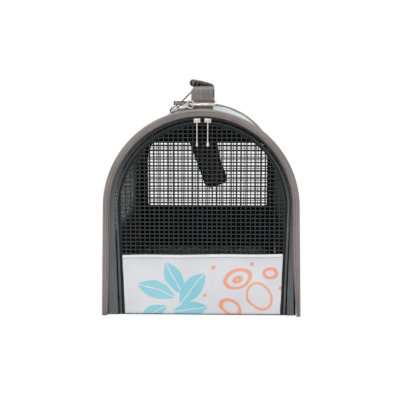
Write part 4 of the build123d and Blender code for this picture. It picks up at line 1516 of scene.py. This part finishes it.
slot_x, _, slot_z = pad_place(9.0, 0.0, 0.0)
back_x = slot_x - math.tan(RETURN_LEAN) * (299.6 - slot_z)
points = [
    (slot_x, 229.0, slot_z, SIDE_X, 0.0, SIDE_Z),
    (slot_x - 0.3, 231.0, slot_z + 1.2, SIDE_X, 0.0, SIDE_Z),
]
for z in (156.0, 200.0, 250.0, 288.0):
    points.append(come_back(slot_x - math.tan(RETURN_LEAN) * (z - slot_z), 231.3, z))
for x, y, z in (
    (back_x, 231.0, 297.4), (back_x, 229.4, 299.5), (back_x * 0.9, 226.0, 299.7),
    (-3.0, 215.0, 299.8), (-1.0, 211.0, 301.9), (0.0, 207.3, 302.9), (0.0, 204.6, 301.6),
    (0.0, 204.0, 299.5), (0.0, 205.2, 297.0), (0.0, 208.0, 296.3), (0.0, 211.5, 297.6),
):
    points.append((x, y, z) + ACROSS)
strap("strap_return_piece", points, STRAP_WIDTH, 1.6, 1.8, "shell", "strap_return_run")
print("return points", len(points))

# %% [markdown]
# ## The shoulder pad
# The pad is a flat cushion, pressed in lines across it, with a row of stitches near its
# edge. It is a crowned shape drawn in rings up its length, thick inside and pinched at
# the edge, because it is thinner than a cloth run can hold.

# %% Fill the shoulder pad
PAD_LONG, PAD_HALF, PAD_CORNER = 128.0, 23.0, 13.0


def pad_half(v):
    """Half width of the pad at a height along it."""
    off = max(0.0, PAD_CORNER - v, PAD_CORNER - (PAD_LONG - v))
    return PAD_HALF - PAD_CORNER + math.sqrt(max(0.0, PAD_CORNER * PAD_CORNER - off * off))


rings = []
for v in steps(0.3, 127.7, 1.6):
    ends = min(1.0, min(v, PAD_LONG - v) / 7.0)
    pressed = 0.5 * math.exp(-((v % 21.0 - 10.5) / 1.6) ** 2)
    ring = []
    for side in (1, -1):
        for k in range(17):
            share = (2 * k / 16 - 1) * side
            full = (1.0 - abs(share) ** 5) ** 0.6 * math.sqrt(ends)
            lift = side * (0.9 + 1.55 * full - pressed * full)
            ring.append(pad_place(v, share * pad_half(v), 227.6 + lift))
    rings.append(ring)
pad = finish_mesh("padded_sleeve", sweep(rings), DARK, "shell", ["shoulder_pad"], "dark_cloth")
rows = [
    [pad_place(v, side * (pad_half(v) - 3.0), 230.2) for v in steps(2.0, 126.0, 2.0)]
    for side, _ in SIDES
]
stitch("pad_stitches", rows, (0.0, -1.0, 0.0), DARK_THREAD, "shell", 3.4)
print("pad faces", len(pad.data.polygons))

# %% [markdown]
# ## Sliders and pulls
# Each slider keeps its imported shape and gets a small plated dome. The pulls are slim rods
# that end in a drop, with an eye round the slider's pin. They are drawn as round wire
# with a width that changes along it, and then pressed flat, so they clear the rim.

# %% Make the pulls
NECK, PIN_Y, DOME_Y, DOME = DOOR_RADIUS + 3.4, -220.95, -217.3, 2.7
# The pull's line: distance below its pin, and radius. Its tip ends in a drop.
ROD_LINE = [(2.3, 0.75), (8.0, 0.85), (20.0, 0.7), (28.0, 0.8)]
TIP_LINE = [(31.5, 0.66), (34.0, 0.85), (36.2, 0.6)]

for (side, word), tip in zip(SIDES, (1.7, 2.5)):
    angle = side * 7.5 / NECK
    pin_x, pin_z = SHIFT + NECK * math.sin(angle), SPRING + NECK * math.cos(angle)
    dome = []
    for turn in (math.pi / 2 * k / 6 for k in range(7)):
        size = DOME * math.cos(turn) + 0.05
        middle = Vector((pin_x, DOME_Y - 1.9 * math.sin(turn), pin_z))
        dome.append(oval(middle, Vector(ACROSS), Vector((0, 0, 1)), 2 * size, 2 * size, 1.0, 18))
    finish_mesh(f"slider_dome_{word}", sweep(dome), NICKEL, f"slider_{word}", (), "nickel")
    rod = ROD_LINE + [(below, tip * share) for below, share in TIP_LINE]
    rod = [(pin_x, PIN_Y, pin_z - below, size) for below, size in rod]
    eye = [(pin_x + 2.1 * math.sin(t), PIN_Y, pin_z + 2.1 * math.cos(t)) for t in round_turn(10)]
    made = (
        wire(f"pull_rod_{word}", rod, None, f"pull_{word}", [f"zipper_pull_{word}"], step=0.8),
        wire(f"pull_eye_{word}", eye, 0.62, f"pull_{word}", closed=True, step=0.7),
    )
    for piece in made:
        for vertex in piece.data.vertices:
            vertex.co.y = (PIN_Y + (vertex.co.y / MM - PIN_Y) * 0.4) * MM
print("pull length", ROD_LINE[0][0] + TIP_LINE[-1][0])

# %% [markdown]
# ## Finishes for the rigid parts
# The snap hooks, their gates and eyes, the sliders, the adjuster and the hoops are rigid
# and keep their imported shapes. Only their finish changes, by filling each object's own
# slots.

# %% Finish the rigid parts
RIGID = {
    "zipper_slider_left": NICKEL, "zipper_slider_right": NICKEL, "snap_hook_front": NICKEL,
    "snap_hook_rear": NICKEL, "snap_gate_front": NICKEL, "snap_gate_rear": NICKEL,
    "snap_eye_front": NICKEL, "snap_eye_rear": NICKEL, "strap_adjuster": BLACK_PLASTIC,
    "front_hoop": ROD, "rear_hoop": ROD,
}
for obj in bpy.context.scene.objects:
    finish = RIGID.get(obj.get("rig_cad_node"))
    if finish:
        for holder in obj.material_slots:
            holder.material = finish
        if not obj.material_slots:
            obj.data.materials.append(finish)
print("rigid parts", len(RIGID))

# %% [markdown]
# ## The ground
# The photograph has a plain white ground. The floor looks almost white to the camera,
# with a share of real light left in it, so the carrier still stands in a faint shadow.
# Further out the share fades, and the floor meets the white world without a line.

# %% Lay the ground
def ground_finish():
    material = bpy.data.materials.new("white_ground")
    tree = Tree(material)
    away = tree.add("ShaderNodeVectorMath", tree.place(uv=False), operation="LENGTH", out=1)
    glowing = tree.ranged(away, 0.3, 0.8, 0.93, 1.0)
    seen = tree.nodes.new("ShaderNodeLightPath").outputs["Is Camera Ray"]
    plain = tree.add("ShaderNodeBsdfDiffuse", (0.92, 0.92, 0.92, 1.0))
    share = tree.calc("MULTIPLY", seen, glowing)
    tree.show("ShaderNodeOutputMaterial", share, plain, tree.add("ShaderNodeEmission", WHITE))
    return material


ground = bpy.data.meshes.new("ground")
ground.from_pydata([(-9, -9, 0), (9, -9, 0), (9, 9, 0), (-9, 9, 0)], [], [(0, 1, 2, 3)])
ground.materials.append(ground_finish())
put("ground", ground)
print("ground laid")

# %% [markdown]
# ## Finish
# The stitch and the coil loop, which the bead tree repeated, are removed.

# %% Remove the spare pieces and finish
for obj in (STITCH, COIL_LOOP):
    bpy.data.objects.remove(obj)
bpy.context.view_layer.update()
